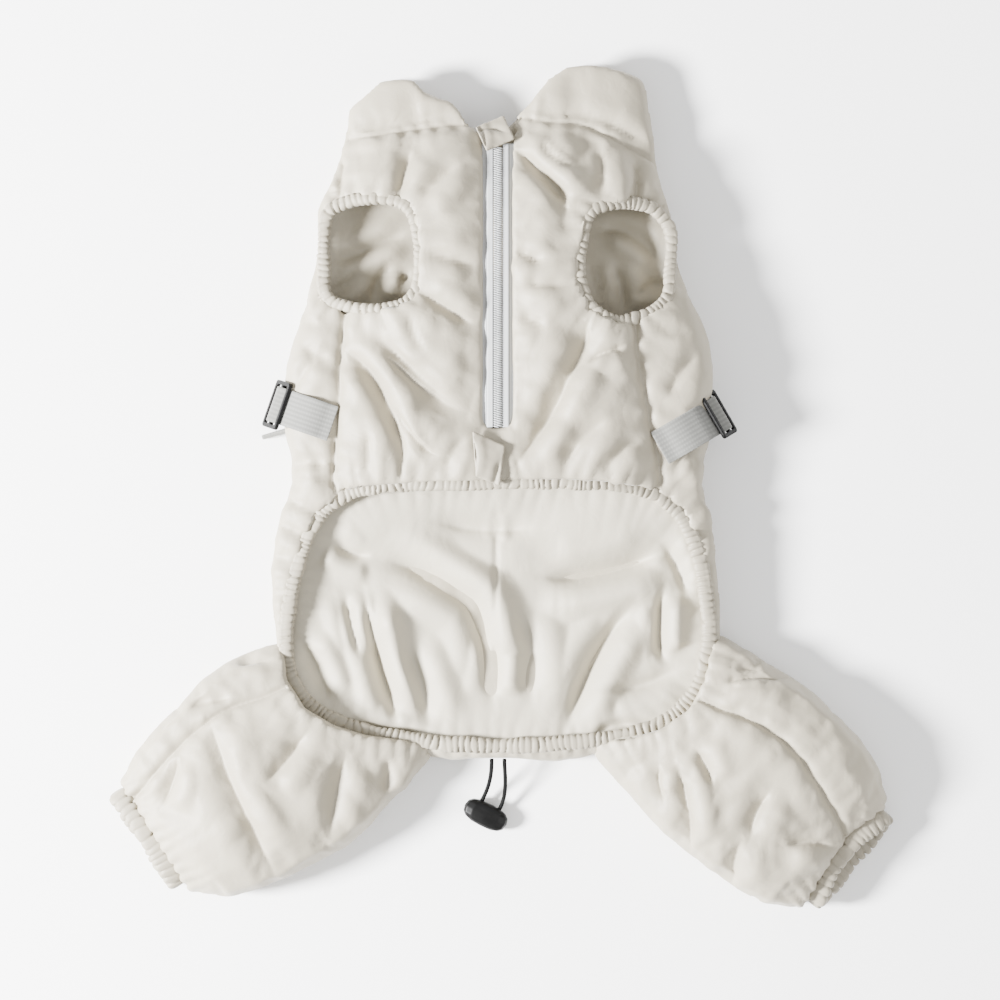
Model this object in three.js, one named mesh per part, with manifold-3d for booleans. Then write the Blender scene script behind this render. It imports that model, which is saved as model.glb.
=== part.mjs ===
// Padded dog jumpsuit, lying on its back with the belly side up: quilted body with a collar, two elastic
// front leg holes, a zip down the chest, a wide elastic belly opening, two puffed hind legs with elastic
// cuffs, side straps with sliders, and a drawcord with a toggle at the tail.
// Millimetres, +Z up, +Y towards the neck, the back flat on z = 0.
import * as THREE from "three";
import { mergeVertices } from "three/addons/utils/BufferGeometryUtils.js";
import Module from "manifold-3d";

const wasm = await Module();
wasm.setup();

// Body
const BODY_LENGTH = 350; // from the neck line to the tail hem
const BODY_HALF_WIDTH = 118;
const BODY_LOFT = 46; // greatest height of the body as it lies
const NECK_Y = 201.6; // where the neck line lies
const PADDING = 9.5; // quilted wall, outer cloth, filling and inner cloth together
const SIDE_WALL = 8;
const LINING_THICKNESS = 1.5;
const PIECE_GAP = 0.3; // clearance between neighbouring pieces
const SEAM_GAP = 0.4; // width of the slit along a seam
const QUILT_DEPTH = 3.6; // how deep a seam pulls into the padding
const QUILT_WIDTH = 8;

// Elastic bindings
const BINDING_WIDTH = 8;
const BINDING_THICKNESS = 6.5;
const RUFFLE_DEPTH = 0.16; // share of the section that a gather takes away

// Hind legs
const LEG_LENGTH = 139;
const LEG_HALF_WIDTH = 55;
const LEG_LOFT = 39;
const LEG_PADDING = 7;
const LEG_MOUTH_TOP = 17; // ceiling of the passage from the body into a leg
const CUFF_LENGTH = 8.5;
const CUFF_THICKNESS = 4.5;

// Zip
const ZIP_LENGTH = 154;
const ZIP_WIDTH = 15.5;
const ZIP_TOP_Y = 186.6;
const ZIP_X = -2;
const TAPE_THICKNESS = 1.1;
const COIL_WIDTH = 4.6;
const COIL_HEIGHT = 2.2;

// Side straps
const STRAP_WIDTH = 20;
const STRAP_THICKNESS = 1.1;
const SLIDER_LENGTH = 27;
const SLIDER_WIDTH = 17;
const SLIDER_THICKNESS = 2.2;
const SLIDER_BAR = 2.4;
const SLIDER_TILT = (60 * Math.PI) / 180;

// Drawcord and toggle
const CORD_DIAMETER = 2.4;
const TOGGLE_LENGTH = 26;
const TOGGLE_WIDTH = 13.5;
const TOGGLE_HEIGHT = 9;
const TOGGLE_ANGLE = (-27 * Math.PI) / 180;
const CORD_SPACING = 10.8; // between the two strands in the toggle

// Body sections. along: share of BODY_LENGTH from the neck line; left, right: shares of BODY_HALF_WIDTH;
// loft: share of BODY_LOFT; edge: share of the loft at which the section is widest; pad: share of PADDING.
const BODY = [
  { along: -0.1, left: 0.7, right: 0.65, loft: 0.48, edge: 0.5, pad: 0.66 },
  { along: -0.02, left: 0.71, right: 0.69, loft: 0.53, edge: 0.5, pad: 0.66 },
  { along: 0.046, left: 0.75, right: 0.72, loft: 0.68, edge: 0.47, pad: 0.8 },
  { along: 0.101, left: 0.8, right: 0.745, loft: 0.84, edge: 0.43, pad: 0.95 },
  { along: 0.14, left: 0.835, right: 0.776, loft: 0.92, edge: 0.4, pad: 1 },
  { along: 0.211, left: 0.857, right: 0.815, loft: 0.97, edge: 0.4, pad: 1 },
  { along: 0.266, left: 0.88, right: 0.852, loft: 0.99, edge: 0.4, pad: 1 },
  { along: 0.329, left: 0.95, right: 0.944, loft: 1, edge: 0.4, pad: 1 },
  { along: 0.392, left: 1, right: 0.981, loft: 1, edge: 0.4, pad: 1 },
  { along: 0.486, left: 1.014, right: 0.981, loft: 0.98, edge: 0.4, pad: 1 },
  { along: 0.549, left: 0.972, right: 0.936, loft: 0.92, edge: 0.42, pad: 0.95 },
  { along: 0.583, left: 0.986, right: 0.944, loft: 0.87, edge: 0.45, pad: 0.9 },
  { along: 0.643, left: 1.047, right: 0.988, loft: 0.79, edge: 0.5, pad: 0.85 },
  { along: 0.722, left: 1.072, right: 1.008, loft: 0.73, edge: 0.55, pad: 0.85 },
  { along: 0.816, left: 1.058, right: 1.02, loft: 0.68, edge: 0.6, pad: 0.85 },
  { along: 0.879, left: 1.03, right: 1.0, loft: 0.63, edge: 0.63, pad: 0.85 },
  { along: 0.918, left: 0.967, right: 0.94, loft: 0.6, edge: 0.63, pad: 0.85 },
  { along: 0.953, left: 0.837, right: 0.823, loft: 0.56, edge: 0.62, pad: 0.85 },
  { along: 0.978, left: 0.636, right: 0.646, loft: 0.52, edge: 0.6, pad: 0.85 },
  { along: 0.994, left: 0.403, right: 0.436, loft: 0.47, edge: 0.58, pad: 0.85 },
  { along: 1.003, left: 0.24, right: 0.273, loft: 0.42, edge: 0.55, pad: 0.85 },
];

// Top edge of the collar, from left to right: across is a share of BODY_HALF_WIDTH, above of BODY_LENGTH.
const COLLAR_EDGE = [
  { across: -0.8, above: -0.005 },
  { across: -0.705, above: 0.02 },
  { across: -0.552, above: 0.0645 },
  { across: -0.413, above: 0.0645 },
  { across: -0.352, above: 0.044 },
  { across: -0.231, above: 0.0267 },
  { across: -0.147, above: -0.009 },
  { across: -0.016, above: -0.022 },
  { across: 0.068, above: 0.004 },
  { across: 0.133, above: 0.03 },
  { across: 0.212, above: 0.0645 },
  { across: 0.296, above: 0.083 },
  { across: 0.422, above: 0.089 },
  { across: 0.552, above: 0.08 },
  { across: 0.65, above: 0.066 },
  { across: 0.72, above: 0.014 },
  { across: 0.8, above: -0.005 },
];

// Seams on the chest side, as [across, along] in the same shares.
const SEAMS = {
  collarLeft: [[-0.9, 0.04], [-0.6, 0.0245], [-0.408, 0.0126], [-0.28, 0.004], [-0.08, 0.004]],
  collarRight: [[0.04, -0.008], [0.2, 0.003], [0.33, 0.003], [0.47, 0.0244], [0.64, 0.05], [0.9, 0.085]],
  sideLeft: [[-0.772, 0.62], [-0.766, 0.44], [-0.748, 0.28], [-0.755, 0.14], [-0.765, 0.033]],
  sideRight: [[0.755, 0.62], [0.71, 0.47], [0.655, 0.36], [0.645, 0.31], [0.634, 0.13], [0.627, 0.049]],
};

// Folds and creases of the chest: path as [across, along]; width and depth in shares of QUILT_WIDTH and
// QUILT_DEPTH, a negative depth being a ridge.
const CHEST_FOLDS = [
  { path: [[-0.706, 0.366], [-0.604, 0.395], [-0.515, 0.45], [-0.445, 0.523], [-0.464, 0.556]], width: 0.9, depth: 1.25 },
  { path: [[-0.664, 0.317], [-0.564, 0.353], [-0.427, 0.38], [-0.31, 0.426], [-0.18, 0.459]], width: 1, depth: 1 },
  { path: [[-0.389, 0.264], [-0.291, 0.291], [-0.193, 0.317], [-0.114, 0.333]], width: 0.8, depth: 0.8 },
  { path: [[-0.36, 0.24], [-0.18, 0.246]], width: 0.7, depth: 0.6 },
  { path: [[-0.4, 0.155], [-0.3, 0.128], [-0.12, 0.128]], width: 0.8, depth: 0.6 },
  { path: [[-0.5, 0.135], [-0.45, 0.08], [-0.36, 0.03]], width: 0.8, depth: 0.7 },
  { path: [[0.09, 0.05], [0.193, 0.089], [0.263, 0.11], [0.32, 0.14], [0.345, 0.2]], width: 0.9, depth: 1.3 },
  { path: [[0.4, 0.333], [0.37, 0.376], [0.31, 0.4], [0.22, 0.46], [0.067, 0.542]], width: 0.9, depth: 1.4 },
  { path: [[0.11, 0.2], [0.22, 0.225], [0.3, 0.255]], width: 0.8, depth: 0.6 },
  { path: [[0.43, 0.13], [0.4, 0.09], [0.38, 0.04]], width: 0.9, depth: 0.7 },
  { path: [[-0.6, 0.52], [-0.4, 0.5], [-0.25, 0.53]], width: 1.4, depth: -0.5 },
  { path: [[0.5, 0.36], [0.45, 0.45], [0.5, 0.55]], width: 1.4, depth: -0.7 },
];

// Folds of the lining over the back, ridges up to LINING_RIDGE high.
const LINING_RIDGE = 9;
const LINING_FOLD_WIDTH = 15;
const LINING_FOLDS = [
  { path: [[-0.62, 0.64], [-0.25, 0.68], [-0.05, 0.75]], width: 1.5, height: 0.8 },
  { path: [[0.62, 0.63], [0.3, 0.66], [0.05, 0.74]], width: 1.5, height: 0.9 },
  { path: [[-0.55, 0.76], [-0.35, 0.86], [-0.2, 0.95]], width: 1, height: 0.9 },
  { path: [[-0.86, 0.82], [-0.7, 0.88], [-0.5, 0.93]], width: 0.8, height: 0.8 },
  { path: [[0.0, 0.86], [-0.02, 0.96]], width: 0.9, height: 0.8 },
  { path: [[0.4, 0.74], [0.3, 0.86], [0.12, 0.96]], width: 1, height: 1 },
  { path: [[0.83, 0.75], [0.74, 0.86], [0.55, 0.93]], width: 0.8, height: 0.9 },
  { path: [[-0.6, 0.2], [-0.45, 0.3]], width: 0.7, height: 0.5 },
  { path: [[0.5, 0.2], [0.65, 0.3]], width: 0.7, height: 0.5 },
];

// Centre line of the belly opening's binding, [across, along].
const BELLY_OPENING = [
  [-0.007, 0.57], [-0.333, 0.571], [-0.604, 0.573], [-0.753, 0.586], [-0.855, 0.62], [-0.925, 0.675],
  [-0.978, 0.741], [-1.012, 0.816], [-0.985, 0.879], [-0.9, 0.92], [-0.73, 0.952], [-0.427, 0.972],
  [-0.007, 0.984], [0.413, 0.974], [0.692, 0.958], [0.865, 0.922], [0.952, 0.863], [0.967, 0.785],
  [0.935, 0.706], [0.862, 0.631], [0.748, 0.587], [0.506, 0.57], [0.249, 0.568],
];

// Front leg holes: centre and half sizes of the binding's centre line, in shares of BODY_HALF_WIDTH.
const ARMHOLES = {
  left: { across: -0.6, along: 0.212, halfWidth: 0.225, halfHeight: 0.265, square: 2.6, turn: 0.06 },
  right: { across: 0.572, along: 0.222, halfWidth: 0.215, halfHeight: 0.278, square: 2.5, turn: -0.16 },
};

// Hind legs. x, y: middle of the root as shares of BODY_HALF_WIDTH and along BODY_LENGTH; angle of the leg.
// along: share of LEG_LENGTH; upper, lower: shares of LEG_HALF_WIDTH; loft: share of LEG_LOFT.
const LEGS = {
  left: {
    across: -0.678, along: 0.91, angle: 213.1, lip: 1.5,
    seam: [
      [-0.35, 0.3], [0.1, 0.45], [0.312, 0.547], [0.447, 0.649], [0.639, 0.62], [0.775, 0.53], [0.906, 0.427],
      [1.15, 0.25],
    ],
    rows: [
      { along: -0.28, upper: 0.66, lower: 0.8, loft: 0.66 },
      { along: 0, upper: 0.82, lower: 0.97, loft: 0.76 },
      { along: 0.14, upper: 0.91, lower: 1.07, loft: 0.87 },
      { along: 0.3, upper: 0.99, lower: 1.17, loft: 0.98 },
      { along: 0.43, upper: 1.02, lower: 1.16, loft: 1 },
      { along: 0.56, upper: 0.95, lower: 1.13, loft: 1 },
      { along: 0.7, upper: 0.88, lower: 1.08, loft: 0.96 },
      { along: 0.82, upper: 0.79, lower: 1.01, loft: 0.85 },
      { along: 0.9, upper: 0.7, lower: 0.88, loft: 0.7 },
      { along: 0.95, upper: 0.62, lower: 0.73, loft: 0.58 },
      { along: 1, upper: 0.57, lower: 0.63, loft: 0.5 },
    ],
    folds: [
      { path: [[0.36, 0.25], [0.5, -0.3], [0.58, -0.9]], width: 1, depth: 0.7 },
      { path: [[0.75, 0.3], [0.86, 0.05]], width: 0.9, depth: 1.1 },
      { path: [[0.2, -0.3], [0.34, -0.2]], width: 0.8, depth: 0.9 },
      { path: [[0.12, -0.75], [0.3, -0.85]], width: 0.8, depth: 0.9 },
      { path: [[0.24, 0.6], [0.42, 0.66]], width: 0.8, depth: 0.8 },
    ],
  },
  right: {
    across: 0.739, along: 0.907, angle: -40, lip: 7,
    seam: [
      [-0.35, 0.2], [0.1, 0.26], [0.19, 0.298], [0.298, 0.409], [0.421, 0.473], [0.55, 0.459], [0.637, 0.397],
      [0.839, 0.225], [1.15, 0.05],
    ],
    rows: [
      { along: -0.28, upper: 0.72, lower: 0.76, loft: 0.66 },
      { along: 0, upper: 0.89, lower: 0.9, loft: 0.76 },
      { along: 0.14, upper: 0.91, lower: 0.92, loft: 0.87 },
      { along: 0.3, upper: 0.97, lower: 0.99, loft: 0.98 },
      { along: 0.43, upper: 1.01, lower: 1, loft: 1 },
      { along: 0.56, upper: 1.01, lower: 0.99, loft: 1 },
      { along: 0.7, upper: 0.98, lower: 0.98, loft: 0.96 },
      { along: 0.82, upper: 0.89, lower: 0.93, loft: 0.85 },
      { along: 0.9, upper: 0.78, lower: 0.85, loft: 0.7 },
      { along: 0.95, upper: 0.68, lower: 0.75, loft: 0.58 },
      { along: 1, upper: 0.61, lower: 0.64, loft: 0.5 },
    ],
    folds: [
      { path: [[0.2, 0.62], [0.4, 0.72], [0.55, 0.78]], width: 0.8, depth: 0.9 },
      { path: [[0.56, 0.12], [0.66, -0.2], [0.72, -0.75]], width: 1, depth: 0.9 },
      { path: [[0.14, -0.35], [0.4, -0.3], [0.55, -0.45]], width: 0.9, depth: 1 },
      { path: [[0.1, -0.7], [0.28, -0.75]], width: 0.8, depth: 0.8 },
    ],
  },
};

// Straps: where the webbing leaves the side seam, and the plan angle it takes to the edge.
const STRAPS = {
  left: { across: -0.772, along: 0.4785, angle: 161, tail: true },
  right: { across: 0.725, along: 0.517, angle: 30, tail: false },
};

const BELLY_CORNERS = 36; // gathers round the belly opening
const ARMHOLE_CORNERS = 15;
const CUFF_CORNERS = 15;
const CORD_STEPS = 14;

// Route of the drawcord's two strands from the hem to the toggle: x, y in the toggle's plan, z above the floor.
const TOGGLE_X = -8.8;
const TOGGLE_Y = -181.4;
const CORD_EXITS = [
  { x: -5.4, y: -149.9, z: 17 },
  { x: 1.6, y: -149.9, z: 17 },
];

const CHEST_ROWS = 18;
const TAIL_ROWS = 10;
const FRONT_COLUMNS = 20;
const BACK_COLUMNS = 5;

// Smooth reading of a table's column at a share along it.
function read(rows, key, along) {
  const last = rows.length - 1;
  const clamped = THREE.MathUtils.clamp(along, rows[0].along, rows[last].along);
  let i = 0;
  while (i < last - 1 && rows[i + 1].along < clamped) i += 1;
  const slope = (k) => {
    const a = rows[Math.max(0, k - 1)];
    const b = rows[Math.min(last, k + 1)];
    return (b[key] - a[key]) / (b.along - a.along);
  };
  const step = rows[i + 1].along - rows[i].along;
  const t = (clamped - rows[i].along) / step;
  const t2 = t * t;
  const t3 = t2 * t;
  return (
    (2 * t3 - 3 * t2 + 1) * rows[i][key] + (t3 - 2 * t2 + t) * step * slope(i) +
    (3 * t2 - 2 * t3) * rows[i + 1][key] + (t3 - t2) * step * slope(i + 1)
  );
}

const planX = (across) => across * BODY_HALF_WIDTH;
const planY = (along) => NECK_Y - along * BODY_LENGTH;
const planPoint = ([across, along]) => new THREE.Vector2(planX(across), planY(along));
const alongOf = (y) => (NECK_Y - y) / BODY_LENGTH;

// Distance from a point to a path of Vector2 points.
function distanceToPath(point, path) {
  let best = Infinity;
  for (let i = 0; i + 1 < path.length; i += 1) {
    const edge = path[i + 1].clone().sub(path[i]);
    const t = THREE.MathUtils.clamp(point.clone().sub(path[i]).dot(edge) / edge.lengthSq(), 0, 1);
    best = Math.min(best, point.distanceTo(path[i].clone().addScaledVector(edge, t)));
  }
  return best;
}

const bell = (distance, width) => Math.exp(-((distance / width) ** 2));

const chestFolds = CHEST_FOLDS.map((fold) => ({
  path: fold.path.map(planPoint), width: fold.width * QUILT_WIDTH, depth: fold.depth * QUILT_DEPTH,
}));
const seamPaths = Object.values(SEAMS).map((seam) => seam.map(planPoint));
const zipPath = [new THREE.Vector2(ZIP_X, ZIP_TOP_Y + 20), new THREE.Vector2(ZIP_X, ZIP_TOP_Y - ZIP_LENGTH)];
const liningFolds = LINING_FOLDS.map((fold) => ({
  path: fold.path.map(planPoint), width: fold.width * LINING_FOLD_WIDTH, height: fold.height * LINING_RIDGE,
}));
const armholeCurves = Object.fromEntries(
  Object.entries(ARMHOLES).map(([side, hole]) => [side, armholeCurve(hole)]),
);
const bellyCurve = new THREE.CatmullRomCurve3(
  BELLY_OPENING.map((pair) => new THREE.Vector3(planX(pair[0]), planY(pair[1]), 0)), true,
);

function armholeCurve(hole) {
  const points = [];
  const corners = 24;
  for (let i = 0; i < corners; i += 1) {
    const angle = (2 * Math.PI * i) / corners;
    const power = 2 / hole.square;
    const x = hole.halfWidth * BODY_HALF_WIDTH * Math.sign(Math.cos(angle)) * Math.abs(Math.cos(angle)) ** power;
    const y = hole.halfHeight * BODY_HALF_WIDTH * Math.sign(Math.sin(angle)) * Math.abs(Math.sin(angle)) ** power;
    const turned = new THREE.Vector2(x, y).rotateAround(new THREE.Vector2(), hole.turn);
    points.push(new THREE.Vector3(turned.x + planX(hole.across), turned.y + planY(hole.along), 0));
  }
  return new THREE.CatmullRomCurve3(points, true);
}

// How far the chest side is pushed up or pulled in by seams and folds.
function chestRelief(x, y) {
  const point = new THREE.Vector2(x, y);
  let z = 0;
  for (const seam of seamPaths) z -= QUILT_DEPTH * bell(distanceToPath(point, seam), QUILT_WIDTH);
  z -= 1.5 * QUILT_DEPTH * bell(distanceToPath(point, zipPath), 1.6 * QUILT_WIDTH);
  for (const fold of chestFolds) z -= fold.depth * bell(distanceToPath(point, fold.path), fold.width);
  return z;
}

function liningRelief(x, y) {
  const point = new THREE.Vector2(x, y);
  let z = 0;
  for (const fold of liningFolds) z = Math.max(z, fold.height * bell(distanceToPath(point, fold.path), fold.width));
  return z;
}

const CROWN_POWER = 2.6; // how full the chest side is across a section
const BACK_POWER = 4.5; // how flat the back is
const crown = (q, power) => (1 - Math.min(1, Math.abs(q)) ** power) ** (1 / power);

// The body's measures at a share along it.
function bodyAt(along) {
  const left = -BODY_HALF_WIDTH * read(BODY, "left", along);
  const right = BODY_HALF_WIDTH * read(BODY, "right", along);
  const top = BODY_LOFT * read(BODY, "loft", along);
  return {
    middle: (left + right) / 2, half: (right - left) / 2, top,
    edge: top * read(BODY, "edge", along), pad: PADDING * read(BODY, "pad", along),
  };
}

// Height of the body's chest side at a place in plan.
function chestHeight(x, y) {
  const section = bodyAt(alongOf(y));
  const share = crown((x - section.middle) / section.half, CROWN_POWER);
  return section.edge + (section.top - section.edge) * share + chestRelief(x, y) * Math.min(1, 1.5 * share);
}

// A manifold-3d solid of a closed geometry.
function toSolid(geometry) {
  const plain = geometry.clone();
  for (const name of Object.keys(plain.attributes)) if (name !== "position") plain.deleteAttribute(name);
  const merged = mergeVertices(plain, 1e-4);
  const triVerts = new Uint32Array(merged.index.array);
  const made = new wasm.Manifold(
    new wasm.Mesh({ numProp: 3, vertProperties: new Float32Array(merged.attributes.position.array), triVerts }),
  );
  return made;
}

// A closed solid through rings with the same number of points; a ring loops round, the ends are capped.
function loft(rings, closed = false) {
  const count = rings[0].length;
  const positions = rings.flat().flatMap((p) => [p.x, p.y, p.z]);
  const faces = [];
  const rows = closed ? rings.length : rings.length - 1;
  for (let i = 0; i < rows; i += 1) {
    const next = (i + 1) % rings.length;
    for (let j = 0; j < count; j += 1) {
      const k = (j + 1) % count;
      const [a, b, c, d] = [i * count + j, i * count + k, next * count + k, next * count + j];
      faces.push(a, b, c, a, c, d);
    }
  }
  if (!closed) {
    for (const [ring, turned] of [[0, false], [rings.length - 1, true]]) {
      const centre = positions.length / 3;
      const middle = rings[ring].reduce((sum, p) => sum.add(p), new THREE.Vector3()).divideScalar(count);
      positions.push(middle.x, middle.y, middle.z);
      for (let j = 0; j < count; j += 1) {
        const pair = [ring * count + j, ring * count + ((j + 1) % count)];
        faces.push(centre, ...(turned ? pair : pair.reverse()));
      }
    }
  }
  const geometry = new THREE.BufferGeometry();
  geometry.setAttribute("position", new THREE.Float32BufferAttribute(positions, 3));
  geometry.setIndex(faces);
  const made = toSolid(geometry);
  if (made.volume() > 0) return made;
  const turned = [];
  for (let i = 0; i < faces.length; i += 3) turned.push(faces[i], faces[i + 2], faces[i + 1]);
  geometry.setIndex(turned);
  return toSolid(geometry);
}

// A straight-sided solid over a plan outline.
function prism(outline, bottom, top) {
  const shape = new THREE.Shape(outline.map((p) => new THREE.Vector2(p.x, p.y)));
  const geometry = new THREE.ExtrudeGeometry(shape, { depth: top - bottom, bevelEnabled: false });
  return toSolid(geometry.translate(0, 0, bottom));
}

function bodyRing(along, measures) {
  const { grow, relief } = measures;
  const section = bodyAt(along);
  const y = planY(along);
  const ring = [];
  for (let i = 0; i < FRONT_COLUMNS; i += 1) {
    const angle = Math.PI * (1 - i / FRONT_COLUMNS);
    const q = Math.sign(Math.cos(angle)) * Math.abs(Math.cos(angle)) ** (2 / CROWN_POWER);
    const x = section.middle + (section.half + grow) * q;
    const share = Math.abs(Math.sin(angle)) ** (2 / CROWN_POWER);
    const raised = relief ? chestRelief(x, y) * Math.min(1, 1.5 * share) : 0;
    ring.push(new THREE.Vector3(x, y, section.edge + (section.top - section.edge + grow) * share + raised));
  }
  for (let i = 0; i < BACK_COLUMNS; i += 1) {
    const angle = (-Math.PI * i) / BACK_COLUMNS;
    const q = Math.sign(Math.cos(angle)) * Math.abs(Math.cos(angle)) ** (2 / BACK_POWER);
    const share = Math.abs(Math.sin(angle)) ** (2 / BACK_POWER);
    const z = Math.max(-grow, section.edge - 1.03 * (section.edge + grow) * share);
    ring.push(new THREE.Vector3(section.middle + (section.half + grow) * q, y, z));
  }
  return ring;
}

const CHEST_END = 0.57; // where the chest panels end and the belly opening begins

function bodySolid(measures) {
  const first = BODY[0].along;
  const last = BODY[BODY.length - 1].along;
  const rings = [];
  for (let i = 0; i < CHEST_ROWS; i += 1) {
    rings.push(bodyRing(first + ((CHEST_END - first) * i) / CHEST_ROWS, measures));
  }
  for (let i = 0; i <= TAIL_ROWS; i += 1) {
    // rows crowd towards the tail's end, where the outline turns quickly
    rings.push(bodyRing(CHEST_END + (last - CHEST_END) * Math.sin((Math.PI * i) / (2 * TAIL_ROWS)), measures));
  }
  return loft(rings);
}

const CAVITY_ROWS = 12;
const CAVITY_COLUMNS = 8;

// The hollow inside the body, taken in by inset on every side; it runs out past the neck.
function cavitySolid(inset) {
  const start = BODY[0].along - 0.03;
  const end = BODY[BODY.length - 1].along - (0.6 * SIDE_WALL + inset) / BODY_LENGTH;
  const rings = [];
  for (let i = 0; i <= CAVITY_ROWS; i += 1) {
    const share = i / CAVITY_ROWS;
    const along = start + (end - start) * (1.28 * share - 0.28 * share ** 2.6);
    const section = bodyAt(along);
    const y = planY(along);
    const half = Math.max(6, section.half - SIDE_WALL - inset);
    const floor = section.pad + inset;
    const ceiling = section.top - section.pad - inset;
    const middle = Math.min(Math.max(section.edge, floor + 2), ceiling - 1);
    const ring = [];
    for (let j = 0; j < CAVITY_COLUMNS; j += 1) {
      const angle = Math.PI * (1 - j / CAVITY_COLUMNS);
      const q = Math.sign(Math.cos(angle)) * Math.abs(Math.cos(angle)) ** (2 / 3);
      const share2 = Math.abs(Math.sin(angle)) ** (2 / 3);
      ring.push(new THREE.Vector3(section.middle + half * q, y, middle + (ceiling - middle) * share2));
    }
    for (let j = 0; j < CAVITY_COLUMNS; j += 1) {
      const angle = (-Math.PI * j) / CAVITY_COLUMNS;
      const q = Math.sign(Math.cos(angle)) * Math.abs(Math.cos(angle)) ** (2 / 3.4);
      const share2 = Math.abs(Math.sin(angle)) ** (2 / 3.4);
      const x = section.middle + half * q;
      const lift = liningRelief(x, y) * share2;
      ring.push(new THREE.Vector3(x, y, Math.min(middle - (middle - floor) * share2 + lift, ceiling - 0.5)));
    }
    rings.push(ring);
  }
  return loft(rings);
}

// Everything above the middle of the body's hollow, from the neck to the tail.
function upperHalf() {
  const reach = 3 * BODY_HALF_WIDTH;
  const rings = [];
  for (let i = 0; i <= CAVITY_ROWS; i += 1) {
    const along = -0.2 + (1.4 * i) / CAVITY_ROWS;
    const section = bodyAt(along);
    const low = section.top / 2;
    const y = planY(along);
    rings.push([
      new THREE.Vector3(-reach, y, low), new THREE.Vector3(-reach, y, 3 * BODY_LOFT),
      new THREE.Vector3(reach, y, 3 * BODY_LOFT), new THREE.Vector3(reach, y, low),
    ]);
  }
  return loft(rings);
}

// A closed elastic band along a ring of corners, wide across the band and thick through it. Between two corners
// the band is drawn in, as gathered cloth is; a band that is grown, to make room for another, stays smooth.
function band(corners, through, size, grow) {
  const centres = [];
  const ups = [];
  corners.forEach((corner, i) => {
    const next = (i + 1) % corners.length;
    centres.push(corner, corner.clone().lerp(corners[next], 0.5));
    ups.push(through[i], through[i].clone().lerp(through[next], 0.5).normalize());
  });
  const sides = 6;
  const count = centres.length;
  const smooth = grow.across > 0;
  const kept = centres.map((_, i) => i).filter((i) => !smooth || i % 2 === 0);
  return loft(kept.map((i) => {
    const tangent = centres[(i + 1) % count].clone().sub(centres[(i + count - 1) % count]).normalize();
    const side = ups[i].clone().cross(tangent).normalize();
    const up = tangent.clone().cross(side);
    const gather = i % 2 === 1 ? 1 - RUFFLE_DEPTH : 1;
    const ring = [];
    for (let j = 0; j < sides; j += 1) {
      const angle = (2 * Math.PI * (j + 0.5)) / sides;
      ring.push(centres[i].clone()
        .addScaledVector(side, ((size.across / 2) * gather + grow.across) * Math.cos(angle))
        .addScaledVector(up, ((size.through / 2) * gather + grow.through) * Math.sin(angle)));
    }
    return ring;
  }), true);
}

// A gathered binding that runs round a plan curve on the chest side's surface.
function binding(curve, count, grow) {
  const corners = ringOutline(curve, count);
  corners.forEach((p) => p.setZ(chestHeight(p.x, p.y) - BINDING_THICKNESS / 2));
  const size = { across: BINDING_WIDTH, through: BINDING_THICKNESS };
  return band(corners, corners.map(() => new THREE.Vector3(0, 0, 1)), size, { across: grow, through: grow });
}

const LEG_ROWS = 10;

// A leg's frame: root point, direction along the leg and direction towards its upper edge.
function legFrame(leg) {
  const angle = (leg.angle * Math.PI) / 180;
  const axis = new THREE.Vector3(Math.cos(angle), Math.sin(angle), 0);
  const upper = new THREE.Vector3(-axis.y, axis.x, 0);
  if (upper.y < 0) upper.negate();
  return { root: new THREE.Vector3(planX(leg.across), planY(leg.along), 0), axis, upper };
}

function legRelief(leg, along, across) {
  const point = new THREE.Vector2(along * LEG_LENGTH, across * LEG_HALF_WIDTH);
  let z = 0;
  const seam = leg.seam.map(([a, b]) => new THREE.Vector2(a * LEG_LENGTH, b * LEG_HALF_WIDTH));
  z -= QUILT_DEPTH * bell(distanceToPath(point, seam), QUILT_WIDTH);
  for (const fold of leg.folds) {
    const path = fold.path.map(([a, b]) => new THREE.Vector2(a * LEG_LENGTH, b * LEG_HALF_WIDTH));
    z -= fold.depth * QUILT_DEPTH * bell(distanceToPath(point, path), fold.width * QUILT_WIDTH);
  }
  return z;
}

function legSolid(leg, wall, columns, from, to) {
  const { root, axis, upper } = legFrame(leg);
  const rings = [];
  for (let i = 0; i <= LEG_ROWS; i += 1) {
    const along = from + ((to - from) * i) / LEG_ROWS;
    const top = LEG_LOFT * read(leg.rows, "loft", along);
    const high = LEG_HALF_WIDTH * read(leg.rows, "upper", along) - wall;
    const low = -LEG_HALF_WIDTH * read(leg.rows, "lower", along) + wall;
    const edge = 0.45 * top;
    const pad = Math.min(wall, 0.34 * top);
    const mouth = THREE.MathUtils.smoothstep(along, 0.05, 0.45);
    const ceiling = wall > 0 ? THREE.MathUtils.lerp(Math.min(LEG_MOUTH_TOP, top - pad), top - pad, mouth) : top;
    const ring = [];
    for (let j = 0; j < 2 * columns; j += 1) {
      const angle = Math.PI * (1 - j / columns);
      const power = j <= columns ? 2.4 : BACK_POWER;
      const q = Math.sign(Math.cos(angle)) * Math.abs(Math.cos(angle)) ** (2 / power);
      const share = Math.abs(Math.sin(angle)) ** (2 / power);
      const across = (high + low) / 2 + ((high - low) / 2) * q;
      const middle = Math.min(edge, ceiling - 1);
      const raised = wall > 0 ? 0 : legRelief(leg, along, across / LEG_HALF_WIDTH) * share;
      const z = j <= columns
        ? middle + (ceiling - middle) * share + raised
        : Math.max(pad, middle - 1.03 * (middle - pad) * share);
      ring.push(root.clone().addScaledVector(axis, along * LEG_LENGTH).addScaledVector(upper, across).setZ(z));
    }
    rings.push(ring);
  }
  return loft(rings);
}

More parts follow.
